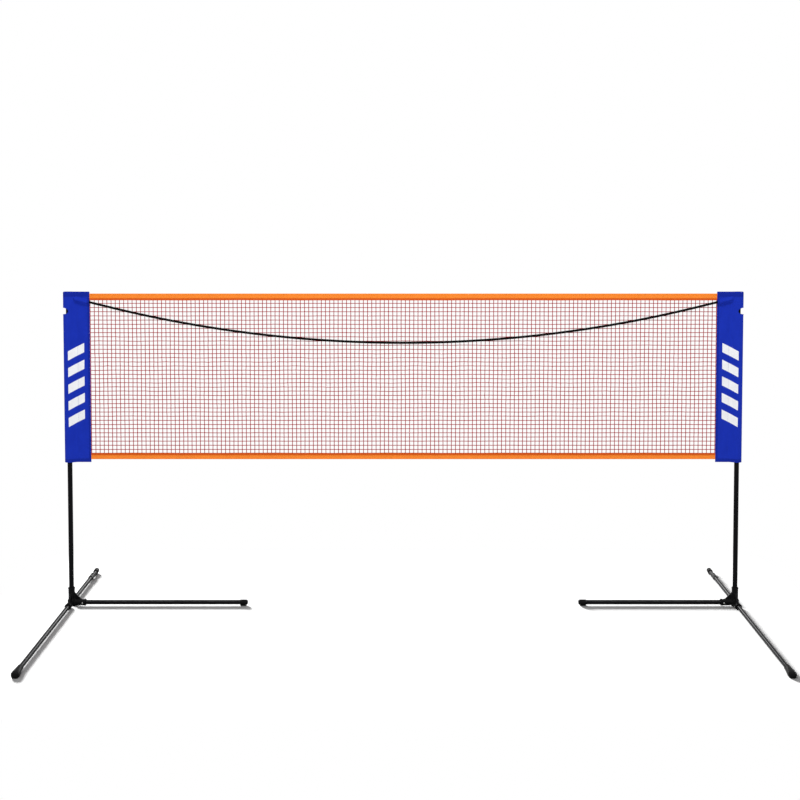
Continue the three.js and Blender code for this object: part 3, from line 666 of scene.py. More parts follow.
def folded_tape(rope_z, edge_z, phase):
    """Row = place along X, column = section. The walls open by splay x (reach / full reach)^2 and the free
    edge wanders up and down by a fraction of a millimetre."""
    towards_edge = math.copysign(1, edge_z - rope_z)
    full = abs(edge_z - rope_z)
    section = tape_section(full)
    x = np.linspace(net_low.x, net_high.x, round((net_high.x - net_low.x) / TAPE_STEP) + 1)
    share = np.clip(section[:, 1] / full, 0, 1) ** 2
    wander = 0.0004 * np.sin(11 * x + phase) + 0.0002 * np.sin(37 * x + 2 * phase)
    depth = section[:, 0] + np.sign(section[:, 0]) * tape_splay(x, phase)[:, None] * share
    z = rope_z + towards_edge * (section[:, 1] + wander[:, None] * share)
    points = np.stack([np.broadcast_to(x[:, None], depth.shape), NET_Y + depth, z], axis=-1)
    from_edge = full - np.append(section[:, 1], section[0, 1])
    return grid_shape(points, x, from_edge, wrap_columns=True, caps=True)


# %% Tape webbing
WEBBING_DEPTH = 0.00025
SHADE_BAND_START = 0.0075
SHADE_BAND_END = 0.0115


def webbing_finish():
    """Plain weave, faded in broad blotches, with a painted highlight on its crests. A band at the free edge,
    below the seam, is painted darker as shade where the tape lies on the strings."""
    finish, shader, tree = new_finish("tape_webbing", (0.84, 0.2, 0.022), roughness=0.75, specular=0.1)
    from_edge, along = uv_place(tree)
    crests = weave(tree, along, from_edge, 0.0016, 0.0013)
    relief(tree, shader, crests, WEBBING_DEPTH)
    blotches = noise(tree, object_place(tree), 14.0, 4.0)
    faded = two_colors(tree, blotches, (0.86, 0.21, 0.022), (0.93, 0.25, 0.03))
    # Painted highlight: the weave's crests are colored lighter.
    crest_highlighted = two_colors(tree, calc(tree, "MULTIPLY", crests, 0.2), faded, (0.92, 0.3, 0.04))
    # Painted shade: a darker band along the free edge, below the seam, where the tape lies on the strings.
    past_shade_band = ramp(tree, from_edge, SHADE_BAND_START, SHADE_BAND_END)
    shaded = two_colors(tree, past_shade_band, (0.62, 0.09, 0.006), crest_highlighted)
    feed(tree, shader, Base_Color=shaded)
    return finish


WEBBING = webbing_finish()
ROPE = yarn_finish(
    "edge_rope", valley=(0.35, 0.33, 0.29), crest=(0.72, 0.7, 0.64), yarns=9, lay=0.003, depth=0.0002
)
ORANGE_THREAD = yarn_finish(
    "orange_thread", valley=(0.55, 0.1, 0.008), crest=(0.86, 0.19, 0.02), yarns=2, lay=0.0012, depth=0.0001
)

# %% Tapes, seams and ropes
ZIGZAG_STEP = 0.0045
ZIGZAG_HALF = 0.0024
ZIGZAG_FROM_EDGE = 0.0095
ZIGZAG_RADIUS = 0.0005
ZIGZAG_SIDES = 5
ROPE_INSET = 0.001
ROPE_STEP = 0.004
ROPE_LAY = 0.024
ROPE_SIDES = 12


def zigzag(rope_z, edge_z, phase, face):
    """A thread that jumps up and down by the same half width at each step, on the tape's outer face."""
    x = np.arange(net_low.x + ZIGZAG_STEP, net_high.x - ZIGZAG_STEP, ZIGZAG_STEP)
    from_edge = ZIGZAG_FROM_EDGE + ZIGZAG_HALF * (1 - 2 * (np.arange(len(x)) % 2))
    full = abs(edge_z - rope_z)
    depth = TAPE_HALF + tape_splay(x, phase) * (1 - from_edge / full) ** 2
    z = edge_z - math.copysign(1, edge_z - rope_z) * from_edge
    return tube(np.stack([x, NET_Y + face * depth, z], axis=-1), ZIGZAG_RADIUS, ZIGZAG_SIDES, ALONG_Y)


for tape, rope, phase in (("top_tape", "head_rope", 0.4), ("bottom_tape", "foot_rope", 2.1)):
    rope_low, rope_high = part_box(rope)
    tape_low, tape_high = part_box(tape)
    rope_z = (rope_low.z + rope_high.z) / 2
    edge_z = tape_low.z if tape == "top_tape" else tape_high.z
    webbing = add_piece(tape + "_webbing", folded_tape(rope_z, edge_z, phase), WEBBING)
    dress(webbing, "net_carriage", "tape_fabric", tape)
    seam = together([zigzag(rope_z, edge_z, phase, face) for face in (-1, 1)])
    dress(add_piece(tape + "_stitching", seam, ORANGE_THREAD), "net_carriage", "tape_fabric")
    rope_x = np.arange(rope_low.x + ROPE_INSET, rope_high.x - ROPE_INSET, ROPE_STEP)
    rope_line = rope_x[:, None] * ALONG_X + (0, NET_Y, rope_z)
    rope_shape = laid(rope_line, rope_high.z - rope_low.z, ROPE_LAY, ROPE_SIDES)
    dress(add_piece(rope + "_laid", rope_shape, ROPE, CORD_DEG), "net_carriage", "edge_rope", rope)


# %% [markdown]
# ## The end sleeves
#
# Each sleeve is a long bag of blue cloth, sewn shut at the top, that slips over the post. Round the post it
# is a tube; towards the net its two layers lie together in a flat panel, and the net and tapes are sewn to
# its inner edge. A bite is cut out of its outer edge, and a small tunnel on the front takes the end of the
# cord.
#
# The cloth is stretched between the post's cap and the net, so it hardly drapes. A cloth simulation would
# have nothing to move, and the few folds that do show come from pull: shallow waves in the panel and slack
# in the tube. They are written down as a formula, like the section itself. The frame of a sleeve is (u, y,
# z), with u from the post's axis towards the net.

# %% The sleeve's sizes, from its CAD solid
sleeve_low, sleeve_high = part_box("left_sleeve")
SLEEVE_OUTER = POST_X["left"] - sleeve_low.x
SLEEVE_INNER = sleeve_high.x - POST_X["left"]
SLEEVE_BOTTOM = sleeve_low.z
SLEEVE_TOP = sleeve_high.z
BULGE_HALF = sleeve_high.y - NET_Y
PANEL_HALF = 0.0015
LAYERS_MEET = 0.04
CLOTH_WALL = 0.0012
NOTCH_BELOW_TOP = 0.0885
NOTCH_HEIGHT = 0.033
NOTCH_DEPTH = 0.028
TOP_ROUND = 0.014
CORNER_ROUND = 0.005
HEM_FROM_TOP = 0.023
HEM_FROM_BOTTOM = 0.016
TUNNEL_RADIUS = 0.0072
TUNNEL_SLOPE = 0.24
TUNNEL_START = 0.028
TUNNEL_EXIT_Z = CORD_ROUTE[0][1] - 0.0006
FOLD_DEPTH = 0.0011
GATHER_DEPTH = 0.0005
GATHER_PITCH = 0.0195


# %% The sleeve's surface
def smooth_min(a, b, radius):
    """The smaller of two distances, with a fillet of about this radius where they are nearly equal:
    b + (a - b) share - radius share (1 - share), where share runs from 0 to 1 as a passes below b."""
    share = np.clip(0.5 + 0.5 * (b - a) / radius, 0, 1)
    return b + (a - b) * share - radius * share * (1 - share)


def smooth_max(a, b, radius):
    """The larger of two distances, rounded the same way."""
    return -smooth_min(-a, -b, radius)


def smooth_step(value, start, end):
    """3 t^2 - 2 t^3, where t runs from 0 at start to 1 at end."""
    t = np.clip((value - start) / (end - start), 0, 1)
    return t * t * (3 - 2 * t)


def inner_round(u):
    """1 on the cloth and sqrt(1 - t^2) in its last stretch, where t runs from 0 to 1 at the inner edge."""
    t = np.clip((u - SLEEVE_INNER + PANEL_HALF) / PANEL_HALF, 0, 1)
    return np.sqrt(1 - t**2)


def plain_half(u):
    """Half the sleeve's thickness at u: an ellipse round the post's outer side, a cosine slope from the
    bulge to the flat panel, and a small rounding at the inner edge."""
    ellipse = BULGE_HALF * np.sqrt(np.clip(1 - (u / SLEEVE_OUTER) ** 2, 0, 1))
    slope = (1 + np.cos(np.pi * np.clip(u, 0, LAYERS_MEET) / LAYERS_MEET)) / 2
    inner = (PANEL_HALF + (BULGE_HALF - PANEL_HALF) * slope) * inner_round(u)
    return np.where(u < 0, ellipse, inner)


def tunnel_depth(u, z):
    """How far the cord's tunnel stands out in front: a circle across the cord's slanting axis, which runs
    on in a straight flank, and which sinks into the panel where the sewn-in cord ends."""
    axis_z = TUNNEL_EXIT_Z + TUNNEL_SLOPE * (SLEEVE_INNER - u)
    across = np.abs(z - axis_z) / math.hypot(1, TUNNEL_SLOPE)
    flank = 0.85 * TUNNEL_RADIUS
    circle = np.sqrt(TUNNEL_RADIUS**2 - np.minimum(across, flank) ** 2)
    fall = 1.6 * np.maximum(across - flank, 0)
    ridge = CORD_FORWARD + circle - fall
    return ridge * smooth_step(u, TUNNEL_START - 0.012, TUNNEL_START + 0.008)


def wave(turns, phase=0.0):
    """sin (2 pi turns + phase)."""
    return np.sin(2 * np.pi * turns + phase)


def slack(u, z, side):
    """Folds that the pull leaves: waves of the panel, in which both layers move together, and on the tube
    around the post a swelling of each layer by itself. Both fade out at hems, edges and seams."""
    ends = smooth_step(z, SLEEVE_BOTTOM, SLEEVE_BOTTOM + 0.05) * smooth_step(SLEEVE_TOP - z, 0.02, 0.09)
    panel = smooth_step(u, 0.02, 0.05) * smooth_step(SLEEVE_INNER - u, 0, 0.035)
    long_wave = wave(z / 0.19 + 1.5 * u / 0.1) + 0.6 * wave(z / 0.083 - u / 0.12, 1)
    shift = FOLD_DEPTH * long_wave * panel * ends
    tube_part = smooth_step(SLEEVE_OUTER + u, 0, 0.014) * smooth_step(0.044 - u, 0, 0.02)
    creases = wave(z / 0.12 - u / 0.05, side) * wave(z / 0.31, 2 * side)
    swell = FOLD_DEPTH * (1 + creases) * tube_part * ends
    at_edge = smooth_step(u, SLEEVE_INNER - 0.02, SLEEVE_INNER - 0.004)
    gathers = GATHER_DEPTH * wave(z / GATHER_PITCH) * at_edge
    return shift + gathers * ends, swell


def sleeve_depth(u, z, side):
    """y of the sleeve's outer face on its front (side -1) or its back (side 1): the half thickness, drawn
    in to nothing over the closed top, the cord's tunnel in front, and the folds."""
    into_top = np.clip((z - SLEEVE_TOP + TOP_ROUND) / TOP_ROUND, 0, 1)
    half = plain_half(u)
    shift, swell = slack(u, z, side)
    half = half + swell * np.minimum(1, half / PANEL_HALF)
    if side < 0:
        tunnel = tunnel_depth(u, z) * inner_round(u)
        half = np.where(half > 0, smooth_max(half, tunnel, np.clip(half, 0.0001, 0.0012)), 0)
    return shift + side * half * (1 - into_top**4) ** 0.25


def sleeve_edges(z):
    """The lowest and highest u at a height: the two edges, with rounded corners at the top."""
    into_corner = np.clip((z - SLEEVE_TOP + CORNER_ROUND) / CORNER_ROUND, 0, 1)
    drawn_in = CORNER_ROUND * (1 - np.sqrt(1 - into_corner**2))
    return -SLEEVE_OUTER + drawn_in, SLEEVE_INNER - drawn_in / 2


# %% The sleeve's grid
CLOSE_ROWS_FROM = 1.34
PLAIN_ROWS = 168
CLOSE_ROWS = 67
TOP_ROWS = 15
ROUND_COLUMNS = 16
PANEL_COLUMNS = 52
EDGE_COLUMNS = 5


def sleeve_grid():
    """Rows are heights, closer together at the tunnel, the bite and the top. Columns go round the section
    from the inner edge along the front to the outer edge, and back along the other side."""
    closed_top = SLEEVE_TOP - TOP_ROUND * (1 - np.sin(np.linspace(0, np.pi / 2, TOP_ROWS)))
    rows = np.concatenate([
        np.linspace(SLEEVE_BOTTOM, CLOSE_ROWS_FROM, PLAIN_ROWS, endpoint=False),
        np.linspace(CLOSE_ROWS_FROM, closed_top[0], CLOSE_ROWS, endpoint=False),
        closed_top,
    ])
    round_part = -SLEEVE_OUTER * np.cos(np.linspace(0, np.pi / 2, ROUND_COLUMNS))
    edge_part = SLEEVE_INNER - PANEL_HALF * (1 - np.sin(np.linspace(0, np.pi / 2, EDGE_COLUMNS)))
    columns = np.concatenate([round_part, np.linspace(0, edge_part[0], PANEL_COLUMNS)[1:-1], edge_part])
    front_and_back = np.concatenate([columns[::-1], columns[1:-1]])
    side = np.concatenate([-np.ones(len(columns)), np.ones(len(columns) - 2)])
    z, u = np.meshgrid(rows, front_and_back, indexing="ij")
    low_u, high_u = sleeve_edges(z)
    moved_u = low_u + (u + SLEEVE_OUTER) * (high_u - low_u) / (SLEEVE_OUTER + SLEEVE_INNER)
    y = np.where(side < 0, sleeve_depth(u, z, -1), sleeve_depth(u, z, 1))
    section = np.stack([front_and_back, side * plain_half(front_and_back)], axis=-1)
    around = length_along(np.vstack([section, section[:1]]))
    outer_edge = around[len(columns) - 1]
    return np.stack([moved_u, y, z], axis=-1), rows, outer_edge - around


# %% [markdown]
# The grid has no thickness. Solidify gives it the wall of the real cloth, inwards, so the outer face stays
# where the CAD solid's is, and a Boolean cut takes the bite out of both layers at once. Both are applied
# straight away, because the UV map that carries the weave is already in place and follows along.

# %% Placing and cutting the sleeves
NOTCH_SIDES = 64
NOTCH_CUTTER_HALF = 0.03


def place(side, points):
    """Points of a side's own frame (u, y, z) in the shared frame."""
    points = np.asarray(points, float)
    x = POST_X[side] + TOWARDS_NET[side] * points[..., 0]
    return np.stack([x, NET_Y + points[..., 1], points[..., 2]], axis=-1)


def moved(shape, side):
    """A shape of a side's own frame in the shared frame."""
    return [place(side, shape[0]), shape[1], shape[2]]


def notch_outline(angle):
    """(u, z) on the bite's ellipse, whose middle lies on the sleeve's outer edge."""
    u = -SLEEVE_OUTER + NOTCH_DEPTH * np.cos(angle)
    return u, SLEEVE_TOP - NOTCH_BELOW_TOP + NOTCH_HEIGHT / 2 * np.sin(angle)


def notch_cutter(side):
    """A prism with the outline of the whole ellipse, right through the sleeve from front to back."""
    u, z = notch_outline(full_turn(NOTCH_SIDES))
    ends = (-NOTCH_CUTTER_HALF, NOTCH_CUTTER_HALF)
    rows = np.stack([np.stack([u, np.full(NOTCH_SIDES, y), z], axis=-1) for y in ends])
    shape = grid_shape(rows, np.zeros(2), np.zeros(NOTCH_SIDES + 1), wrap_columns=True, caps=True)
    return add_piece("notch_cutter", moved(shape, side), None)


# %% [markdown]
# ## Sleeve cloth
#
# The cloth is a plain-woven polyester. Its threads are half a millimetre apart, far below a pixel from a
# step away, but they break up the highlight, and they show up close. Most of the color is one strong blue;
# what makes it cloth is that the weave's crests are a little lighter and that broad patches differ slightly.
# The three sewn hems are darker, partly because the cloth lies double there and partly as painted shade,
# such as that of the net along the inner edge. A generic row of five slanted white bars is printed on the
# front. It is a mask made from the UV map: the height and the distance along the cloth decide where a bar
# is, and the print lets a little of the weave through.

# %% Sleeve cloth finish
WEAVE_HEIGHT = 0.00018
WRINKLE_HEIGHT = 0.0022
EDGE_HEM = 0.121
BARS = 5
BARS_LOW = 0.852
BARS_HIGH = 1.2
BARS_NEAR = 0.031
BARS_FAR = 0.104
BAR_SHARE = 0.55
BAR_SLANT = 0.5
BAR_LEAD = 0.003


def step_mask(tree, value, start, end, softness=0.0004):
    """1 between start and end, 0 outside, with an edge as soft as the ink's."""
    rise = ramp(tree, value, start - softness, start + softness)
    fall = ramp(tree, value, end + softness, end - softness)
    return calc(tree, "MULTIPLY", rise, fall)


def bars_mask(tree, across, up):
    """Bars = the fraction of (height + slant x distance round the cloth) / pitch that lies below a share,
    within the row's ends and the front of the cloth."""
    pitch = (BARS_HIGH - BARS_LOW) / (BARS - 1 + BAR_SHARE)
    leaning = calc(tree, "MULTIPLY", calc(tree, "SUBTRACT", across, (BARS_NEAR + BARS_FAR) / 2), -BAR_SLANT)
    lifted = calc(tree, "ADD", leaning, calc(tree, "SUBTRACT", up, BARS_LOW))
    in_bar = calc(tree, "FRACT", calc(tree, "DIVIDE", calc(tree, "ADD", lifted, BAR_LEAD), pitch))
    bars = step_mask(tree, in_bar, BAR_LEAD / pitch, BAR_SHARE + BAR_LEAD / pitch, 0.006)
    span = step_mask(tree, lifted, -0.002, BARS_HIGH - BARS_LOW + 0.002)
    front = step_mask(tree, across, BARS_NEAR, BARS_FAR)
    return calc(tree, "MULTIPLY", calc(tree, "MULTIPLY", bars, span), front)


def sleeve_finish():
    """Relief = weave + wrinkles. Color = broad patches, lighter on the weave's crests and darker on the three
    hems, partly as painted shade, with the printed bars on top."""
    finish, shader, tree = new_finish("sleeve_cloth", (0.004, 0.018, 0.4), roughness=0.8, specular=0.08)
    across, up = uv_place(tree)
    crests = weave(tree, across, up, 0.0011, 0.0012)
    wrinkles = noise(tree, object_place(tree), 24.0, 3.0, 0.55)
    height = calc(tree, "MULTIPLY_ADD", crests, WEAVE_HEIGHT / WRINKLE_HEIGHT, wrinkles)
    relief(tree, shader, height, WRINKLE_HEIGHT)
    patches = noise(tree, object_place(tree), 11.0, 4.0, 0.6)
    ground = two_colors(tree, patches, (0.0055, 0.021, 0.33), (0.009, 0.031, 0.42))
    lit = two_colors(tree, calc(tree, "MULTIPLY", crests, 0.2), ground, (0.01, 0.04, 0.6))
    top_hem = step_mask(tree, up, SLEEVE_TOP - HEM_FROM_TOP, SLEEVE_TOP + 0.02, 0.0015)
    edge_hem = step_mask(tree, calc(tree, "ABSOLUTE", across), EDGE_HEM, 0.2, 0.001)
    low_hem = step_mask(tree, up, SLEEVE_BOTTOM - 0.01, SLEEVE_BOTTOM + HEM_FROM_BOTTOM, 0.001)
    hems = calc(tree, "MAXIMUM", top_hem, calc(tree, "MAXIMUM", edge_hem, low_hem))
    # The hems are painted darker, partly for the doubled cloth and partly as painted shade, such as the net's
    # along the inner edge.
    hems_doubled_and_shaded = two_colors(tree, calc(tree, "MULTIPLY", hems, 0.45), lit, (0.002, 0.008, 0.16))
    thin_ink = calc(tree, "MULTIPLY", bars_mask(tree, across, up), ramp(tree, crests, 0.0, 1.0, 0.9, 1.0))
    final = two_colors(tree, thin_ink, hems_doubled_and_shaded, (0.86, 0.87, 0.88))
    feed(tree, shader, Base_Color=final)
    return finish


SLEEVE_CLOTH = sleeve_finish()
sleeve_points, sleeve_rows, round_cloth = sleeve_grid()
sleeve_shape = grid_shape(sleeve_points, sleeve_rows, round_cloth, wrap_columns=True)
for side in SIDES:
    sleeve = add_piece(side + "_cloth_sleeve", moved(sleeve_shape, side), SLEEVE_CLOTH)
    wall = sleeve.modifiers.new("wall", "SOLIDIFY")
    wall.thickness = CLOTH_WALL
    wall.offset = -1.0
    keep_modified(sleeve)
    cut_away(sleeve, notch_cutter(side))
    dress(sleeve, "net_carriage", "sleeve_fabric", side + "_sleeve")

# %% [markdown]
# ## Seams and the bound bite
#
# Close up, what tells sewn cloth from a painted board is its thread. A seam is a row of running stitches:
# each is a short arch of thread that comes out of the cloth and goes in again, 3 mm long with a gap of 1
# mm. Every stitch is the same small tube of six sides, laid on the sleeve's own surface formula. The bite
# is hemmed with a narrow bead of the same cloth that follows its rim round both layers.

# %% Stitches
STITCH_PITCH = 0.004
STITCH_LENGTH = 0.003
STITCH_RADIUS = 0.0003
STITCH_RINGS = 6
SEAM_FROM_EDGE = 0.006
PANEL_SEAM = 0.043


def running_stitches(face, start, end):
    """Stitches on one face (-1 front, 1 back) from (u, z) to (u, z). Each has six rings: its centre line
    rises as a sine above the cloth by one thread radius, and its radius tapers at both ends."""
    start, end = np.asarray(start, float), np.asarray(end, float)
    reach = float(np.linalg.norm(end - start))
    along = (end - start) / reach
    firsts = np.arange(STITCH_PITCH, reach - STITCH_PITCH, STITCH_PITCH)
    share = np.linspace(0, 1, STITCH_RINGS)
    u, z = np.moveaxis(start + (firsts[:, None] + STITCH_LENGTH * share)[..., None] * along, -1, 0)
    rise = STITCH_RADIUS * (1.2 * np.sin(np.pi * share) - 0.2)
    line = np.stack([u, sleeve_depth(u, z, face) + face * rise, z], axis=-1)
    radius = STITCH_RADIUS * np.sqrt(np.sin(np.pi * (0.06 + 0.88 * share)))
    return strings(line, np.array([along[1], 0.0, -along[0]]), ALONG_Y, radius)


BLUE_THREAD = yarn_finish(
    "blue_thread", valley=(0.004, 0.014, 0.2), crest=(0.02, 0.06, 0.55), yarns=2, lay=0.0012, depth=0.0001
)
seam_u = SLEEVE_INNER - SEAM_FROM_EDGE
seam_ends = (SLEEVE_BOTTOM + 0.004, TUNNEL_EXIT_Z - 0.02)
hem_end = SLEEVE_INNER - 0.003
hem_top = SLEEVE_TOP - HEM_FROM_TOP
hem_low = SLEEVE_BOTTOM + HEM_FROM_BOTTOM
seam_lines = [
    [(seam_u, z) for z in seam_ends],
    [(PANEL_SEAM, z) for z in seam_ends],
    [(-0.014, hem_top), (hem_end, hem_top)],
    [(-0.018, hem_low), (hem_end, hem_low)],
]
seams = together([running_stitches(face, *ends) for face in (-1, 1) for ends in seam_lines])
for side in SIDES:
    stitching = add_piece(side + "_sleeve_stitching", moved(seams, side), BLUE_THREAD, CORD_DEG)
    dress(stitching, "net_carriage", "sleeve_fabric")

# %% Bound bite
RIM_RADIUS = 0.0011
RIM_SIDES = 12
RIM_POINTS = 72
RIM_REFERENCE = (0.3, 0.2, 1.0)


def rim_line(side):
    """The bite's outline on the cloth: up its half ellipse on the front face and down again on the back one.
    The angle is a quarter turn x sin s, which sets the points closer where the line turns round the edge."""
    s = np.linspace(-np.pi / 2, np.pi / 2, RIM_POINTS, endpoint=False)
    halves = []
    for face in (-1, 1):
        angle = -face * np.pi / 2 * np.sin(s)
        u, z = notch_outline(angle)
        depth = sleeve_depth(np.maximum(u, -SLEEVE_OUTER), z, face) - face * CLOTH_WALL / 2 * np.cos(angle)
        halves.append(np.stack([u, depth, z], axis=-1))
    return place(side, np.concatenate(halves))


for side in SIDES:
    rim = tube(rim_line(side), RIM_RADIUS, RIM_SIDES, RIM_REFERENCE, closed=True)
    dress(add_piece(side + "_bound_bite", rim, SLEEVE_CLOTH), "net_carriage", "sleeve_fabric")


# %% [markdown]
# ## The base hubs
#
# The hub is the piece that takes the most skill. It is one moulding of black nylon: an upright socket for
# the post, three lying sockets for the legs, a square core between them and three thin webs that brace each
# leg socket against the upright one. What makes it look moulded is that no two of these forms meet in a
# sharp line.
#
# Beveling the edges of a Boolean union tends to break where so many curved faces meet, so the hub is made
# another way. Each form is a signed distance: a function that is negative inside, zero on the skin and
# positive outside. The union of two forms is the smaller distance, and a smooth minimum instead gives the
# fillet for free. Bores are taken away with the larger of the hub's distance and the bore's, negated.

# %% Distances to simple forms
def bar_distance(across_a, across_b, along, radius, start, end, edge):
    """Distance to a round bar: the larger of radial - radius and how far along lies past its ends,
    rounded."""
    beyond_ends = np.maximum(start - along, along - end)
    return smooth_max(np.hypot(across_a, across_b) - radius, beyond_ends, edge)


def block_distance(a, b, c, half_a, half_b, low_c, high_c, corner):
    """Distance to a block that is round at its upright edges and a little at its top and bottom."""
    over_a = np.abs(a) - half_a + corner
    over_b = np.abs(b) - half_b + corner
    inside = np.minimum(np.maximum(over_a, over_b), 0)
    side = np.hypot(np.maximum(over_a, 0), np.maximum(over_b, 0)) + inside
    return smooth_max(side - corner, np.maximum(low_c - c, c - high_c), corner / 2)


def outline_distance(along, up, outline, across, half_width, edge):
    """Distance to a plate with a convex outline: the largest distance past the outline's sides, which are
    listed counter-clockwise as (along, up), rounded into the plate's two faces."""
    past = np.full(along.shape, -1.0)
    for (a0, b0), (a1, b1) in zip(outline, outline[1:] + outline[:1]):
        length = math.hypot(a1 - a0, b1 - b0)
        past = np.maximum(past, ((b1 - b0) * (along - a0) - (a1 - a0) * (up - b0)) / length)
    return smooth_max(past, np.abs(across) - half_width, edge)


def cut_out(body, hole):
    """A body less a hole, whose mouth is a little rounded: the larger of the body's distance and minus the
    hole's."""
    return smooth_max(body, -hole, MOUTH_EDGE)


# %% [markdown]
# A distance has no faces yet. Surface nets make them: space is cut into small cubes, and every cube that
# the skin passes through gets one point, at the mean of the places where the skin crosses the cube's edges.
# Every such edge then gets one quad, between the four cubes round it. The points end up close to the skin,
# and two Newton steps along the distance's gradient put them exactly on it.

# %% A skin from a distance
def skin(distance, low, high, step):
    """Surface nets of distance(points) between two corners. Points and quads come out as whole arrays."""
    axes = [np.arange(a, b + step, step) for a, b in zip(low, high)]
    grid = np.stack(np.meshgrid(*axes, indexing="ij"), axis=-1)
    field = distance(grid)
    cubes = tuple(n - 1 for n in field.shape)
    total = np.zeros((*cubes, 3))
    count = np.zeros(cubes)
    crossed = []
    for axis in range(3):
        here, ahead = [slice(None)] * 3, [slice(None)] * 3
        here[axis], ahead[axis] = slice(None, -1), slice(1, None)
        a, b = field[tuple(here)], field[tuple(ahead)]
        changes = (a < 0) != (b < 0)
        share = np.where(changes, a / np.where(changes, a - b, 1), 0)[..., None]
        places = grid[tuple(here)] * (1 - share) + grid[tuple(ahead)] * share
        one, two = [k for k in range(3) if k != axis]
        for shift_one in (0, 1):
            for shift_two in (0, 1):
                from_edge = [slice(None)] * 3
                for k, shift in ((one, shift_one), (two, shift_two)):
                    from_edge[k] = slice(1, None) if shift else slice(None, -1)
                total += (places * changes[..., None])[tuple(from_edge)]
                count += changes[tuple(from_edge)]
        crossed.append((axis, one, two, changes, a < 0))
    filled = count > 0
    number = np.full(cubes, -1)
    number[filled] = np.arange(filled.sum())
    points = total[filled] / count[filled][:, None]
    quads = [quads_across(number, *edges) for edges in crossed]
    return to_skin(distance, points, step), np.concatenate(quads)


def quads_across(number, axis, one, two, changes, inside_first):
    """One quad for each crossed edge along an axis, between the four cubes round it, facing outwards."""
    inner = [slice(None)] * 3
    inner[one] = inner[two] = slice(1, -1)
    place_at = np.argwhere(changes[tuple(inner)])
    flip = inside_first[tuple(inner)][changes[tuple(inner)]]
    corners = []
    for shift_one, shift_two in ((0, 0), (1, 0), (1, 1), (0, 1)):
        cube = place_at.copy()
        cube[:, one] += shift_one
        cube[:, two] += shift_two
        corners.append(number[tuple(cube.T)])
    quad = np.stack(corners, axis=-1)
    turned = flip != (axis != 1)
    quad[turned] = quad[turned][:, ::-1]
    return quad


def to_skin(distance, points, step):
    """Newton steps: point - distance x gradient / |gradient|^2, none longer than half a cube."""
    probe = step / 50 * np.eye(3)
    for _ in range(2):
        slope = np.stack([distance(points + d) - distance(points - d) for d in probe], -1) / (2 * step / 50)
        size = np.maximum((slope**2).sum(-1), 0.25)[:, None]
        points = points + np.clip(-distance(points)[:, None] * slope / size, -step / 2, step / 2)
    return points


def skin_shape(distance, low, high, step):
    """The skin as a shape, whose UV is the place seen from above."""
    points, quads = skin(distance, low, high, step)
    return [points, [quads], [points[quads][..., :2]]]


# %% [markdown]
# The hub's own sizes follow the CAD hub. Its frame is the side's own (u, y, z). One function gives the
# distance for a leg socket with its flange and web in a frame whose first axis runs along the leg, and it
# is used three times, with the axes swapped.

# %% The hub's distance
HUB_STEP = 0.001
HUB_MARGIN = 0.0025
BLOCK_HALF = 0.016
BLOCK_TOP = 0.031
BLOCK_CORNER = 0.006
POST_SOCKET_RADIUS = 0.0142
POST_SOCKET_SPREAD = 0.0007
POST_SOCKET_TOP = 0.085
POST_SOCKET_FLOOR = 0.03
LIP_RADIUS = 0.0158
LIP_HEIGHT = 0.006
LEG_SOCKET_RADIUS = 0.0136
LEG_SOCKET_SPREAD = 0.0008
LEG_SOCKET_SPREAD_AT = 0.058
SOCKET_END = 0.066
SOCKET_FLOOR = 0.02
FLANGE_RADIUS = 0.0154
FLANGE_LENGTH = 0.008
WEB_HALF = 0.004
WEB_OUTLINE = [(-0.002, LEG_HEIGHT), (0.0475, LEG_HEIGHT), (0.0475, 0.029), (0.0175, 0.059), (-0.002, 0.059)]
BUTTON_PLACE = 0.0525
BUTTON_HOLE = 0.0035
POST_BORE = 0.0113
LEG_BORE = 0.0103
FLOOR_EDGE = 0.0006
BORE_EDGE = 0.0004
MOUTH_EDGE = 0.0008
SOCKET_EDGE = 0.001
LIP_EDGE = 0.0012
WEB_EDGE = 0.0014


def leg_socket_distance(along, across, z):
    """A round socket that widens to its mouth, with a flange there and a web above it."""
    up = z - LEG_HEIGHT
    radius = LEG_SOCKET_RADIUS + LEG_SOCKET_SPREAD * along / LEG_SOCKET_SPREAD_AT
    socket = bar_distance(across, up, along, radius, 0, SOCKET_END - SOCKET_EDGE, SOCKET_EDGE)
    flange = bar_distance(across, up, along, FLANGE_RADIUS, SOCKET_END - FLANGE_LENGTH, SOCKET_END, LIP_EDGE)
    web = outline_distance(along, z, WEB_OUTLINE, across, WEB_HALF, WEB_EDGE)
    return smooth_min(smooth_min(socket, web, 0.0045), flange, LIP_EDGE)


def hub_distance(points):
    """The union of core, upright socket and three leg sockets, less the four bores and three button holes."""
    u, y, z = points[..., 0], points[..., 1], points[..., 2]
    core = block_distance(u, y, z, BLOCK_HALF, BLOCK_HALF, -0.01, BLOCK_TOP, BLOCK_CORNER)
    radius = POST_SOCKET_RADIUS + POST_SOCKET_SPREAD * z / POST_SOCKET_TOP
    post_socket = bar_distance(u, y, z, radius, 0, POST_SOCKET_TOP - SOCKET_EDGE, SOCKET_EDGE)
    lip = bar_distance(u, y, z, LIP_RADIUS, POST_SOCKET_TOP - LIP_HEIGHT, POST_SOCKET_TOP, LIP_EDGE)
    body = smooth_min(core, post_socket, 0.004)
    for along, across in ((u, y), (-y, u), (y, u)):
        body = smooth_min(body, leg_socket_distance(along, across, z), 0.005)
    body = smooth_min(body, lip, LIP_EDGE)
    body = cut_out(body, bar_distance(u, y, z, POST_BORE, POST_SOCKET_FLOOR, 1, BORE_EDGE))
    up = z - LEG_HEIGHT
    for along, across, outward in ((u, y, -y), (-y, u, -u), (y, u, -u)):
        body = cut_out(body, bar_distance(across, up, along, LEG_BORE, SOCKET_FLOOR, 1, BORE_EDGE))
        hole = bar_distance(along - BUTTON_PLACE, up, outward, BUTTON_HOLE, 0.002, 1, BORE_EDGE)
        body = cut_out(body, hole)
    return smooth_max(body, -z, FLOOR_EDGE)


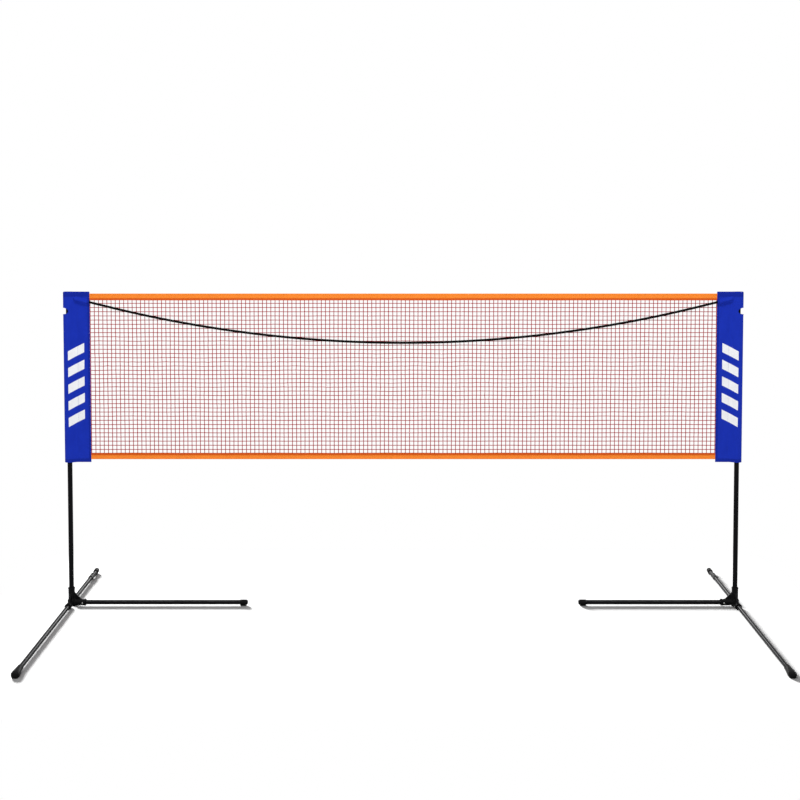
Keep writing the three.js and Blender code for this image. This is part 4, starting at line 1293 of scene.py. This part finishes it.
# %% [markdown]
# ## Moulded nylon and rubber
#
# The hub comes out of a spark-eroded mould, so its skin is matt with a fine, even grain. The feet are
# softer: rougher, a little lighter where they have rubbed on the ground. Both are so dark that their shape
# shows only in the highlights, so the grain goes into the bump and the roughness, and hardly into the
# color.

# %% Moulded finishes
def moulded_finish(name, dark, light, roughness, grain, depth, specular):
    """Grain = fine noise as bump; broad noise moves color and roughness a little."""
    finish, shader, tree = new_finish(name, dark, roughness, specular)
    place_in = object_place(tree)
    relief(tree, shader, noise(tree, place_in, grain, 3.0, 0.6), depth)
    broad = noise(tree, place_in, 35.0, 4.0)
    rough = ramp(tree, broad, 0.0, 1.0, roughness - 0.07, roughness + 0.07)
    feed(tree, shader, Base_Color=two_colors(tree, broad, dark, light), Roughness=rough)
    return finish


HUB_NYLON = moulded_finish(
    "hub_nylon", dark=(0.002, 0.002, 0.0023), light=(0.005, 0.005, 0.0056),
    roughness=0.42, grain=1500.0, depth=0.00012, specular=0.06,
)
FOOT_RUBBER = moulded_finish(
    "foot_rubber", dark=(0.0025, 0.0025, 0.0027), light=(0.007, 0.007, 0.007),
    roughness=0.45, grain=900.0, depth=0.00015, specular=0.05,
)
LOCK_NYLON = moulded_finish(
    "lock_nylon", dark=(0.0025, 0.0025, 0.003), light=(0.006, 0.006, 0.007),
    roughness=0.3, grain=1200.0, depth=0.00006, specular=0.05,
)

hub_low = (-BLOCK_HALF - HUB_MARGIN, -SOCKET_END - HUB_MARGIN, -HUB_MARGIN)
hub_high = (SOCKET_END + HUB_MARGIN, SOCKET_END + HUB_MARGIN, POST_SOCKET_TOP + HUB_MARGIN)
hub_skin = skin_shape(hub_distance, hub_low, hub_high, HUB_STEP)
for side in SIDES:
    hub = add_piece(side + "_moulded_hub", moved(hub_skin, side), HUB_NYLON, MOULDED_DEG)
    dress(hub, "bases", "hub_plastic", side + "_hub")

# %% [markdown]
# ## Feet
#
# The inward and rear legs end in round-nosed caps on a flat sole, and the front legs in a flared boot,
# which spreads the push of a taut net. The caps are made like the hub, from distances. The boot is a loft:
# a row of sections along the leg, each with its own width, top and keel, joined by smooth curves through
# the same stations as the CAD boot, and pressed flat where it stands on the ground.

# %% Round feet
CAP_LENGTH = 0.036
CAP_RADIUS = 0.012
CAP_FLOOR = 0.024
NOSE_RADIUS = 0.009
SOLE_MIDDLE = 0.0145
SOLE_HALF_LENGTH = 0.0135
SOLE_HALF_WIDTH = 0.006
SOLE_CORNER = 0.003
INNER_LEG_BORE = 0.0088
FOOT_STEP = 0.0007
FOOT_MARGIN = 0.002


def round_foot_distance(bore):
    """A bar whose far end is rounded by the nose, joined to a sole, cut flat at the floor, and bored."""
    def distance(points):
        """The distance at points (along, across, z) of the leg's own frame."""
        along, across, z = points[..., 0], points[..., 1], points[..., 2]
        up = z - LEG_HEIGHT
        radial = np.hypot(across, up)
        past_nose = np.maximum(along - CAP_LENGTH + NOSE_RADIUS, 0)
        past_core = np.maximum(radial - CAP_RADIUS + NOSE_RADIUS, 0)
        rounded = (past_nose > 0) | (radial > CAP_RADIUS - NOSE_RADIUS)
        body = np.where(rounded, np.hypot(past_nose, past_core) - NOSE_RADIUS, radial - CAP_RADIUS)
        body = smooth_max(body, -along, LIP_EDGE)
        sole = block_distance(
            along - SOLE_MIDDLE, across, z, SOLE_HALF_LENGTH, SOLE_HALF_WIDTH, -0.01, LEG_HEIGHT, SOLE_CORNER
        )
        body = smooth_min(body, sole, SOLE_CORNER)
        body = cut_out(body, bar_distance(across, up, along, bore, -1, CAP_FLOOR, BORE_EDGE))
        return smooth_max(body, -z, FLOOR_EDGE)

    return distance


def round_foot(bore):
    """The cap's skin, in the frame of its leg."""
    low = (-FOOT_MARGIN, -CAP_RADIUS - FOOT_MARGIN, -FOOT_MARGIN)
    high = (CAP_LENGTH + FOOT_MARGIN, CAP_RADIUS + FOOT_MARGIN, LEG_HEIGHT + CAP_RADIUS + FOOT_MARGIN)
    return skin_shape(round_foot_distance(bore), low, high, FOOT_STEP)


def along_leg(shape, side, heading, start):
    """Turns (along, across, z) into the side's own (u, y, z) for a leg that runs inward, forward or back."""
    along, across, z = (shape[0] + (start, 0, 0)).T
    turned_points = {
        "inward": (along, across, z),
        "front": (across, -along, z),
        "rear": (-across, along, z),
    }[heading]
    return moved([np.stack(turned_points, axis=-1), shape[1], shape[2]], side)


inward_cap = round_foot(LEG_BORE)
rear_cap = round_foot(INNER_LEG_BORE)
for side in SIDES:
    low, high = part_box(side + "_inward_foot")
    inward_start = min(abs(low.x - POST_X[side]), abs(high.x - POST_X[side]))
    rear_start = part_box(side + "_rear_foot")[0].y - NET_Y
    for leg, cap, start, body in (
        ("inward", inward_cap, inward_start, "bases"),
        ("rear", rear_cap, rear_start, side + "_rear_extension"),
    ):
        foot = add_piece(f"{side}_{leg}_cap", along_leg(cap, side, leg, start), FOOT_RUBBER, MOULDED_DEG)
        dress(foot, body, "foot_rubber", f"{side}_{leg}_foot")

# %% Front boots
BOOT_WIDTH_HALF = 0.0172
BOOT_COLLAR = 0.0125
BOOT_KEEL = 0.022
BOOT_LENGTH = 0.075
BOOT_BORE = 0.036
BOOT_CENTRE = 0.001
BOOT_STATIONS = np.array([
    (0, 0, 1, 0), (0.2, 0.08, 1, 0.3), (0.4, 0.42, 0.99, 0.75), (0.6, 0.82, 0.95, 1),
    (0.78, 1, 0.86, 1), (0.9, 0.9, 0.7, 1), (0.97, 0.55, 0.5, 0.8), (1, 0.1, 0.3, 0.45),
])
BOOT_ROWS = 64
BOOT_COLUMNS = 72


def front_boot():
    """Ring at a place = (half width sin a, top or keel cos a), with width, top and keel smooth in the
    place. The outside runs from the mouth to the toe, and the bore goes back in from the mouth to its
    floor."""
    share = np.sin(np.linspace(0, np.pi / 2, BOOT_ROWS))
    width, top, keel = smooth_values(share, BOOT_STATIONS[:, 0], BOOT_STATIONS[:, 1:]).T
    half = BOOT_COLLAR + (BOOT_WIDTH_HALF - BOOT_COLLAR) * width
    rise = BOOT_COLLAR * top
    drop = BOOT_COLLAR + (BOOT_KEEL - BOOT_COLLAR) * keel
    angle = full_turn(BOOT_COLUMNS)
    up = np.where(np.cos(angle) > 0, rise[:, None] * np.cos(angle), drop[:, None] * np.cos(angle))
    z = np.maximum(LEG_HEIGHT + up, 0)
    along = np.broadcast_to(share[:, None] * BOOT_LENGTH, z.shape)
    outside = np.stack([along, half[:, None] * np.sin(angle), z], axis=-1)
    inside_along = np.array([BOOT_BORE, BOOT_BORE, BORE_EDGE, 0.0])
    inside_radius = np.array([BOOT_CENTRE, LEG_BORE, LEG_BORE, LEG_BORE + BORE_EDGE])
    inside = np.stack([
        np.broadcast_to(inside_along[:, None], (4, BOOT_COLUMNS)),
        inside_radius[:, None] * np.sin(angle),
        LEG_HEIGHT + inside_radius[:, None] * np.cos(angle),
    ], axis=-1)
    rows = np.concatenate([inside, outside])
    along_v, around_u = np.linspace(0, 0.1, len(rows)), np.linspace(0, 0.09, BOOT_COLUMNS + 1)
    return grid_shape(rows, along_v, around_u, wrap_columns=True, caps=True)


boot_shape = front_boot()
for side in SIDES:
    boot_start = NET_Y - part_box(side + "_front_foot")[1].y
    turned_boot = along_leg(boot_shape, side, "front", boot_start)
    boot = add_piece(side + "_front_boot", turned_boot, FOOT_RUBBER, MOULDED_DEG)
    dress(boot, "bases", "foot_rubber", side + "_front_foot")


# %% [markdown]
# ## Tubes
#
# The posts and legs are thin steel tubes with a black powder coat. A tube is a lathe shape: its wall's
# section, a long thin rectangle with its corners taken off, goes once round the axis. The leg tubes have a
# hole for the snap button, which is cut with a Boolean, because it has to go through one side of the wall
# only.

# %% Lathed shapes
TUBE_SIDES = 64
MOUTH_ROUND = 0.0003
AXIS_RADIUS = 0.0001
CUTTER_HALF = BUTTON_HOLE * 3
CUTTER_SHIFT = 0.0045
CUTTER_RADIUS = BUTTON_HOLE - 0.0001
CUTTER_SIDES = 32
AXES = {
    "x": (ALONG_X, ALONG_Y, ALONG_Z),
    "y": (ALONG_Y, ALONG_Z, ALONG_X),
    "z": (ALONG_Z, ALONG_X, ALONG_Y),
}


def lathed(profile, origin, axes, sides=TUBE_SIDES, solid=False):
    """point = origin + distance x along + radius (cos a first + sin a second), for a profile of (radius,
    distance) pairs. A wall's profile closes on itself, so both directions of the grid wrap. A solid's profile
    starts and ends near the axis, and is closed there with one face each."""
    along, first, second = axes
    profile = np.asarray(profile, float)
    if solid:
        profile[:, 0] = np.maximum(profile[:, 0], AXIS_RADIUS)
    ring = ring_round(sides, first, second)
    points = origin + profile[:, None, 1:] * along + profile[:, None, :1] * ring
    lengths = length_along(profile if solid else np.vstack([profile, profile[:1]]))
    return grid_shape(points, lengths, np.linspace(0, 1, sides + 1), not solid, True, caps=solid)


def tube_profile(outer, wall, start, end):
    """The section of a tube's wall, with its four corners taken off."""
    r, inner = MOUTH_ROUND, outer - wall
    return [
        (inner + r, start), (outer - r, start), (outer, start + r), (outer, end - r),
        (outer - r, end), (inner + r, end), (inner, end - r), (inner, start + r),
    ]


def round_box(cad_node, axis):
    """A round CAD piece read from its box: the axis's own origin, its directions, radius, start and end."""
    low, high = (np.array(corner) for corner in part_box(cad_node))
    along, first, second = AXES[axis]
    centre = (low + high) / 2
    radius = float((high - low) @ first) / 2
    origin = centre - along * (centre @ along)
    return origin, AXES[axis], radius, float(low @ along), float(high @ along)


def tube_over(cad_node, axis, wall):
    """A tube with the axis, length and outer radius of a CAD tube's box."""
    origin, axes, outer, start, end = round_box(cad_node, axis)
    return lathed(tube_profile(outer, wall, start, end), origin, axes)


def button_place(side, leg):
    """The middle of a snap button and the way it points, which is sideways out of its leg."""
    low, high = (np.array(corner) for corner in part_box(f"{side}_{leg}_button"))
    outward = -ALONG_Y if leg == "inward" else -TOWARDS_NET[side] * ALONG_X
    return (low + high) / 2, outward


def hole_cutter(side, leg):
    """A pin through one wall of a leg tube, where the snap button stands."""
    centre, outward = button_place(side, leg)
    across = ALONG_X if leg == "inward" else ALONG_Y
    line = centre + np.outer([CUTTER_SHIFT - CUTTER_HALF, CUTTER_SHIFT + CUTTER_HALF], outward)
    return add_piece("hole_cutter", tube(line, CUTTER_RADIUS, CUTTER_SIDES, across), None)


# %% [markdown]
# ## Powder coat
#
# A powder coat is a thick, glossy black skin with a faint orange peel. It reflects little at a steep angle
# and much at a shallow one, so a tube seen side-on is nearly black with one pale stripe from the lamp, and
# a leg that points at the viewer shows a broad grey one. The coat is dull where hands and collars have
# rubbed it.

# %% Powder coat finish
def powder_coat():
    """Orange peel = noise of 2 mm lumps as bump; rubbed patches = broad noise as roughness and color."""
    finish, shader, tree = new_finish("powder_coat", (0.0025, 0.0025, 0.003), roughness=0.2, specular=0.03)
    place_in = object_place(tree)
    relief(tree, shader, noise(tree, place_in, 420.0, 2.0), 0.00005)
    rubbed = noise(tree, place_in, 9.0, 5.0, 0.65)
    color = two_colors(tree, rubbed, (0.0015, 0.0015, 0.0018), (0.0035, 0.0035, 0.004))
    feed(tree, shader, Base_Color=color, Roughness=ramp(tree, rubbed, 0.0, 1.0, 0.1, 0.24))
    return finish


POWDER_COAT = powder_coat()
TUBES = [
    ("lower_post", "z", 0.0012, "bases", None),
    ("upper_post", "z", 0.001, "net_carriage", None),
    ("inward_leg", "x", 0.0012, "bases", "inward"),
    ("front_leg", "y", 0.0012, "bases", "front"),
    ("rear_outer_leg", "y", 0.0012, "bases", "rear"),
    ("rear_inner_leg", "y", 0.001, "{}_rear_extension", None),
]
for side in SIDES:
    for cad_name, axis, wall, body, button in TUBES:
        cad_node = f"{side}_{cad_name}"
        piece = add_piece(cad_node + "_tube", tube_over(cad_node, axis, wall), POWDER_COAT)
        if button:
            cut_away(piece, hole_cutter(side, button))
        dress(piece, body.format(side), "painted_tube", cad_node)

# %% [markdown]
# ## Snap buttons, twist locks and what lies inside
#
# A snap button is a small domed pin with a flange, sprung out through the tube and the socket. A twist lock
# is a fluted nut round the tube's mouth. Both are lathe shapes; the flutes are a wave in the nut's radius.

# %% Snap buttons
BUTTON_PROFILE = [
    (0.0, 0.0), (0.0046, 0.0), (0.0046, 0.0011), (0.0045, 0.0012), (0.0033, 0.0012), (0.0032, 0.0013),
]
BUTTON_RADIUS = 0.0032
BUTTON_HEIGHT = 0.0094
BUTTON_DOME = 0.0016
BUTTON_SIDES = 32


def button_profile():
    """Flange, shank and a dome of elliptical section, as (radius, height) pairs from the axis to the axis."""
    angle = np.linspace(0, np.pi / 2, 9)
    height = BUTTON_HEIGHT - BUTTON_DOME * (1 - np.sin(angle))
    return np.concatenate([BUTTON_PROFILE, np.stack([BUTTON_RADIUS * np.cos(angle), height], axis=-1)])


def metal_finish(name, color, roughness):
    """Bright spring steel, with fine draw lines as noise stretched across the strip."""
    finish, shader, tree = new_finish(name, color, roughness, metallic=1.0)
    stretched = node(tree, "ShaderNodeMapping", Vector=object_place(tree), Scale=(60.0, 60.0, 900.0))
    lines = noise(tree, stretched.outputs["Vector"], 1.0, 3.0)
    relief(tree, shader, lines, 0.00003)
    rough = ramp(tree, lines, 0.0, 1.0, roughness - 0.08, roughness + 0.12)
    feed(tree, shader, Roughness=rough)
    return finish


SPRING_STEEL = metal_finish("spring_steel", (0.62, 0.62, 0.6), 0.28)
for side in SIDES:
    for leg in ("inward", "front", "rear"):
        centre, outward = button_place(side, leg)
        axes = (outward, ALONG_Z, np.cross(outward, ALONG_Z))
        base = centre - outward * BUTTON_HEIGHT / 2
        pin = lathed(button_profile(), base, axes, BUTTON_SIDES, solid=True)
        cad_node = f"{side}_{leg}_button"
        dress(add_piece(cad_node + "_pin", pin, SPRING_STEEL), cad_node + "_body", "spring_steel", cad_node)

# %% Twist-lock collars
FLUTES = 8
FLUTE_DEPTH = 0.0007
COLLAR_SIDES = 96
COLLAR_LIP = 0.008
COLLAR_CHAMFER = 0.0008
COLLAR_ENDS = np.array([0, COLLAR_CHAMFER, 0.003, 0.006, 0.009])
LOCKS = [
    ("height", "z", POST_BORE, 0.0098),
    ("rear", "y", LEG_BORE, INNER_LEG_BORE),
]


def collar_shape(cad_node, axis, bore, lip_bore):
    """Rows run along the outside, over the mouth and back through the bore, with a narrower bore in the
    lip. The outside's radius is the box's less flute depth x (1 - cos 8a) / 2, and the flutes fade out at
    both ends."""
    origin, (along, first, second), outer, start, end = round_box(cad_node, axis)
    length = end - start
    outside = np.concatenate([COLLAR_ENDS, [length / 2], length - COLLAR_ENDS[::-1]])
    flutes_at = [COLLAR_CHAMFER, 0.006, length - 0.006, length - COLLAR_CHAMFER]
    fade = np.interp(outside, flutes_at, [0, 1, 1, 0])
    radius = np.full(len(outside), outer)
    radius[[0, -1]] -= COLLAR_CHAMFER
    flutes = FLUTE_DEPTH * (1 - np.cos(FLUTES * full_turn(COLLAR_SIDES))) / 2
    outside_radius = radius[:, None] - fade[:, None] * flutes
    inside = np.array([length, length - COLLAR_LIP, length - COLLAR_LIP, 0])
    inside_radius = np.array([lip_bore, lip_bore, bore, bore])
    all_radius = np.concatenate([outside_radius, np.repeat(inside_radius[:, None], COLLAR_SIDES, axis=1)])
    places = np.concatenate([outside, inside])
    ring = ring_round(COLLAR_SIDES, first, second)
    points = origin + (start + places)[:, None, None] * along + all_radius[..., None] * ring
    return grid_shape(points, np.append(places, 0), np.linspace(0, 1, COLLAR_SIDES + 1), True, True)


for side in SIDES:
    for lock, axis, bore, lip_bore in LOCKS:
        cad_node = f"{side}_{lock}_collar"
        collar = add_piece(f"{side}_{lock}_lock", collar_shape(cad_node, axis, bore, lip_bore), LOCK_NYLON)
        dress(collar, cad_node + "_body", "lock_plastic", cad_node)

# %% [markdown]
# The remaining CAD pieces lie inside the tubes and the sleeves, and show only when the set is taken apart.
# Their CAD shapes are right as they are, so they keep them and get a finish each.

# %% Finishes for the CAD pieces that stay
NYLON_INSIDE = ("height_collet", "upper_post_glide", "post_cap", "rear_collet", "rear_leg_glide")
STEEL_INSIDE = ("inward_spring", "front_spring", "rear_spring")
for side in SIDES:
    for cad_name in NYLON_INSIDE + STEEL_INSIDE:
        mesh = frame["nodes"][f"{side}_{cad_name}"].data
        mesh.materials.clear()
        mesh.materials.append(SPRING_STEEL if cad_name in STEEL_INSIDE else LOCK_NYLON)
print("gave finishes to", 2 * len(NYLON_INSIDE + STEEL_INSIDE), "CAD pieces")


# %% [markdown]
# ## Floor, world and lamps
#
# The picture has a white ground with soft grey shadows close to the legs. A floor whose white comes from a
# bright world would lose them, because light from everywhere leaves no shadow. So the floor is a grey
# sheet, and a low sun that is linked to the floor alone brings it up to white: what blocks that sun leaves
# a clear shadow, and no light is added on the object. Farther out the whiteness is a glow of strength 1
# that only the camera and reflections see. The world is white in the same way, and gives a soft light of
# strength 0.6.

# %% Floor
FLOOR_HALF = 40.0
FLOOR_GREY = 0.25
FOOTPRINT_X = 1.6
FOOTPRINT_Y = 0.7
GLOW_STARTS = 0.05
GLOW_FULL = 0.3


def seen_rays(tree):
    """1 for the rays that show the background: from the camera, from gloss and through glass."""
    rays = node(tree, "ShaderNodeLightPath")
    seen = calc(tree, "MAXIMUM", rays.outputs["Is Camera Ray"], rays.outputs["Is Glossy Ray"])
    return calc(tree, "MAXIMUM", seen, rays.outputs["Is Transmission Ray"])


def floor_finish():
    """Diffuse paper near the set, and past its footprint a growing share of an even glow. The distance past
    the footprint is the length of (max(|x| - its half width, 0), max(|y| - its half depth, 0))."""
    finish, shader, tree = new_finish("floor_paper", (FLOOR_GREY, FLOOR_GREY, FLOOR_GREY), roughness=0.9)
    split = node(tree, "ShaderNodeSeparateXYZ", Vector=object_place(tree))
    past = []
    for output, half in (("X", FOOTPRINT_X), ("Y", FOOTPRINT_Y)):
        beyond = calc(tree, "SUBTRACT", calc(tree, "ABSOLUTE", split.outputs[output]), half)
        past.append(calc(tree, "POWER", calc(tree, "MAXIMUM", beyond, 0.0), 2.0))
    distance = calc(tree, "POWER", calc(tree, "ADD", *past), 0.5)
    away = ramp(tree, distance, GLOW_STARTS, GLOW_FULL)
    glow = node(tree, "ShaderNodeEmission", Color=(1.0, 1.0, 1.0), Strength=1.0)
    mixed = node(tree, "ShaderNodeMixShader", Fac=calc(tree, "MULTIPLY", seen_rays(tree), away))
    connect(tree, shader.outputs["BSDF"], mixed.inputs[1])
    connect(tree, glow.outputs["Emission"], mixed.inputs[2])
    feed(tree, tree.nodes["Material Output"], Surface=mixed.outputs["Shader"])
    return finish


corners = np.array([(-1, -1, 0), (1, -1, 0), (1, 1, 0), (-1, 1, 0)], float) * FLOOR_HALF
floor = add_piece("floor", [corners, [np.array([[0, 1, 2, 3]])], [np.zeros((1, 4, 2))]], floor_finish())

# %% World
WORLD_LIGHT = 0.6

world = bpy.data.worlds.new("studio")
world.use_nodes = True
bpy.context.scene.world = world
world_tree = world.node_tree
strength = ramp(world_tree, seen_rays(world_tree), 0.0, 1.0, WORLD_LIGHT, 1.0)
feed(world_tree, world_tree.nodes["Background"], Color=(1.0, 1.0, 1.0), Strength=strength)
print("the world's light is", WORLD_LIGHT)

# %% [markdown]
# The sun comes from behind on the left, 21 degrees above the floor, so that the shadows fall to the front
# and right of the legs, more than two heights away. It is wide, so a shadow softens with the height of what
# casts it. It is blocked by the legs and feet alone, because the net, the posts and the hubs would draw
# long bars across the picture.
#
# Rectangles of light do the rest. The strip overhead lights the set. Its twin is linked to the tubes alone
# and is four times as bright, because black paint mirrors so little at a steep angle: it draws the thin
# stripe on the upper side of the legs that run along the net. The legs that point at the camera mirror what
# is low behind the middle of the set: a line of sight that meets a leg where it faces the camera goes on
# with the same slope, but upwards and back across. The panel stands there, and gives those legs their broad
# grey stripe.

# %% Lamps
SUN_TRAVEL = (20.0, -34.0, -15.0)
SUN_WIDTH_DEG = 18.0
SUN_ON_FLOOR = 26.0
BLOCKERS_BELOW = 0.06
LAMP_TARGET = (0.0, NET_Y, 0.0)
LAMPS = {
    "overhead_strip": {"start": (-2.8, -1.6, 4.2), "end": (2.8, -1.6, 4.2), "width": 0.2, "radiance": 28.0},
    "tube_strip": {"start": (-2.8, -1.4, 4.2), "end": (2.8, -1.4, 4.2), "width": 0.25, "radiance": 110.0},
    "back_panel": {"start": (0.0, 6.0, 1.6), "end": (0.0, 6.0, 2.95), "width": 2.0, "radiance": 13.0},
}


def linked_pieces(name, wanted):
    """A collection of the mesh objects that a test picks, for linking a light to them."""
    group = bpy.data.collections.new(name)
    for piece in bpy.context.scene.objects:
        if piece.type == "MESH" and wanted(piece):
            group.objects.link(piece)
    return group


def is_low(piece):
    """True for legs and feet, which stay below a height and aren't the floor."""
    return piece != floor and max(corner[2] for corner in piece.bound_box) < BLOCKERS_BELOW


sun_data = bpy.data.lights.new("low_sun", "SUN")
sun_data.energy = SUN_ON_FLOOR
sun_data.angle = math.radians(SUN_WIDTH_DEG)
low_sun = bpy.data.objects.new("low_sun", sun_data)
low_sun.rotation_euler = Vector(SUN_TRAVEL).to_track_quat("-Z", "Y").to_euler()
low_sun.light_linking.receiver_collection = linked_pieces("floor_only", lambda piece: piece == floor)
low_sun.light_linking.blocker_collection = linked_pieces("low_pieces", is_low)
bpy.context.scene.collection.objects.link(low_sun)


def strip_lamp(name, start, end, width, radiance):
    """A rectangle of even radiance from start to end, turned to the target: power = radiance x pi x area. The
    camera doesn't see it."""
    start, end = Vector(start), Vector(end)
    place_at = (start + end) / 2
    back = (place_at - Vector(LAMP_TARGET)).normalized()
    long_way = end - start
    long_way = (long_way - back * long_way.dot(back)).normalized()
    data = bpy.data.lights.new(name, "AREA")
    data.shape = "RECTANGLE"
    data.size = width
    data.size_y = (end - start).length
    data.energy = radiance * math.pi * data.size * data.size_y
    lamp = bpy.data.objects.new(name, data)
    turn = Matrix((long_way.cross(back), long_way, back)).transposed().to_4x4()
    lamp.matrix_world = Matrix.Translation(place_at) @ turn
    lamp.visible_camera = False
    bpy.context.scene.collection.objects.link(lamp)
    return lamp


lamps = {name: strip_lamp(name, **settings) for name, settings in LAMPS.items()}
tubes_only = linked_pieces("tubes_only", lambda piece: piece.name.endswith("_tube"))
lamps["tube_strip"].light_linking.receiver_collection = tubes_only
print("lamps:", ["low_sun", *lamps])
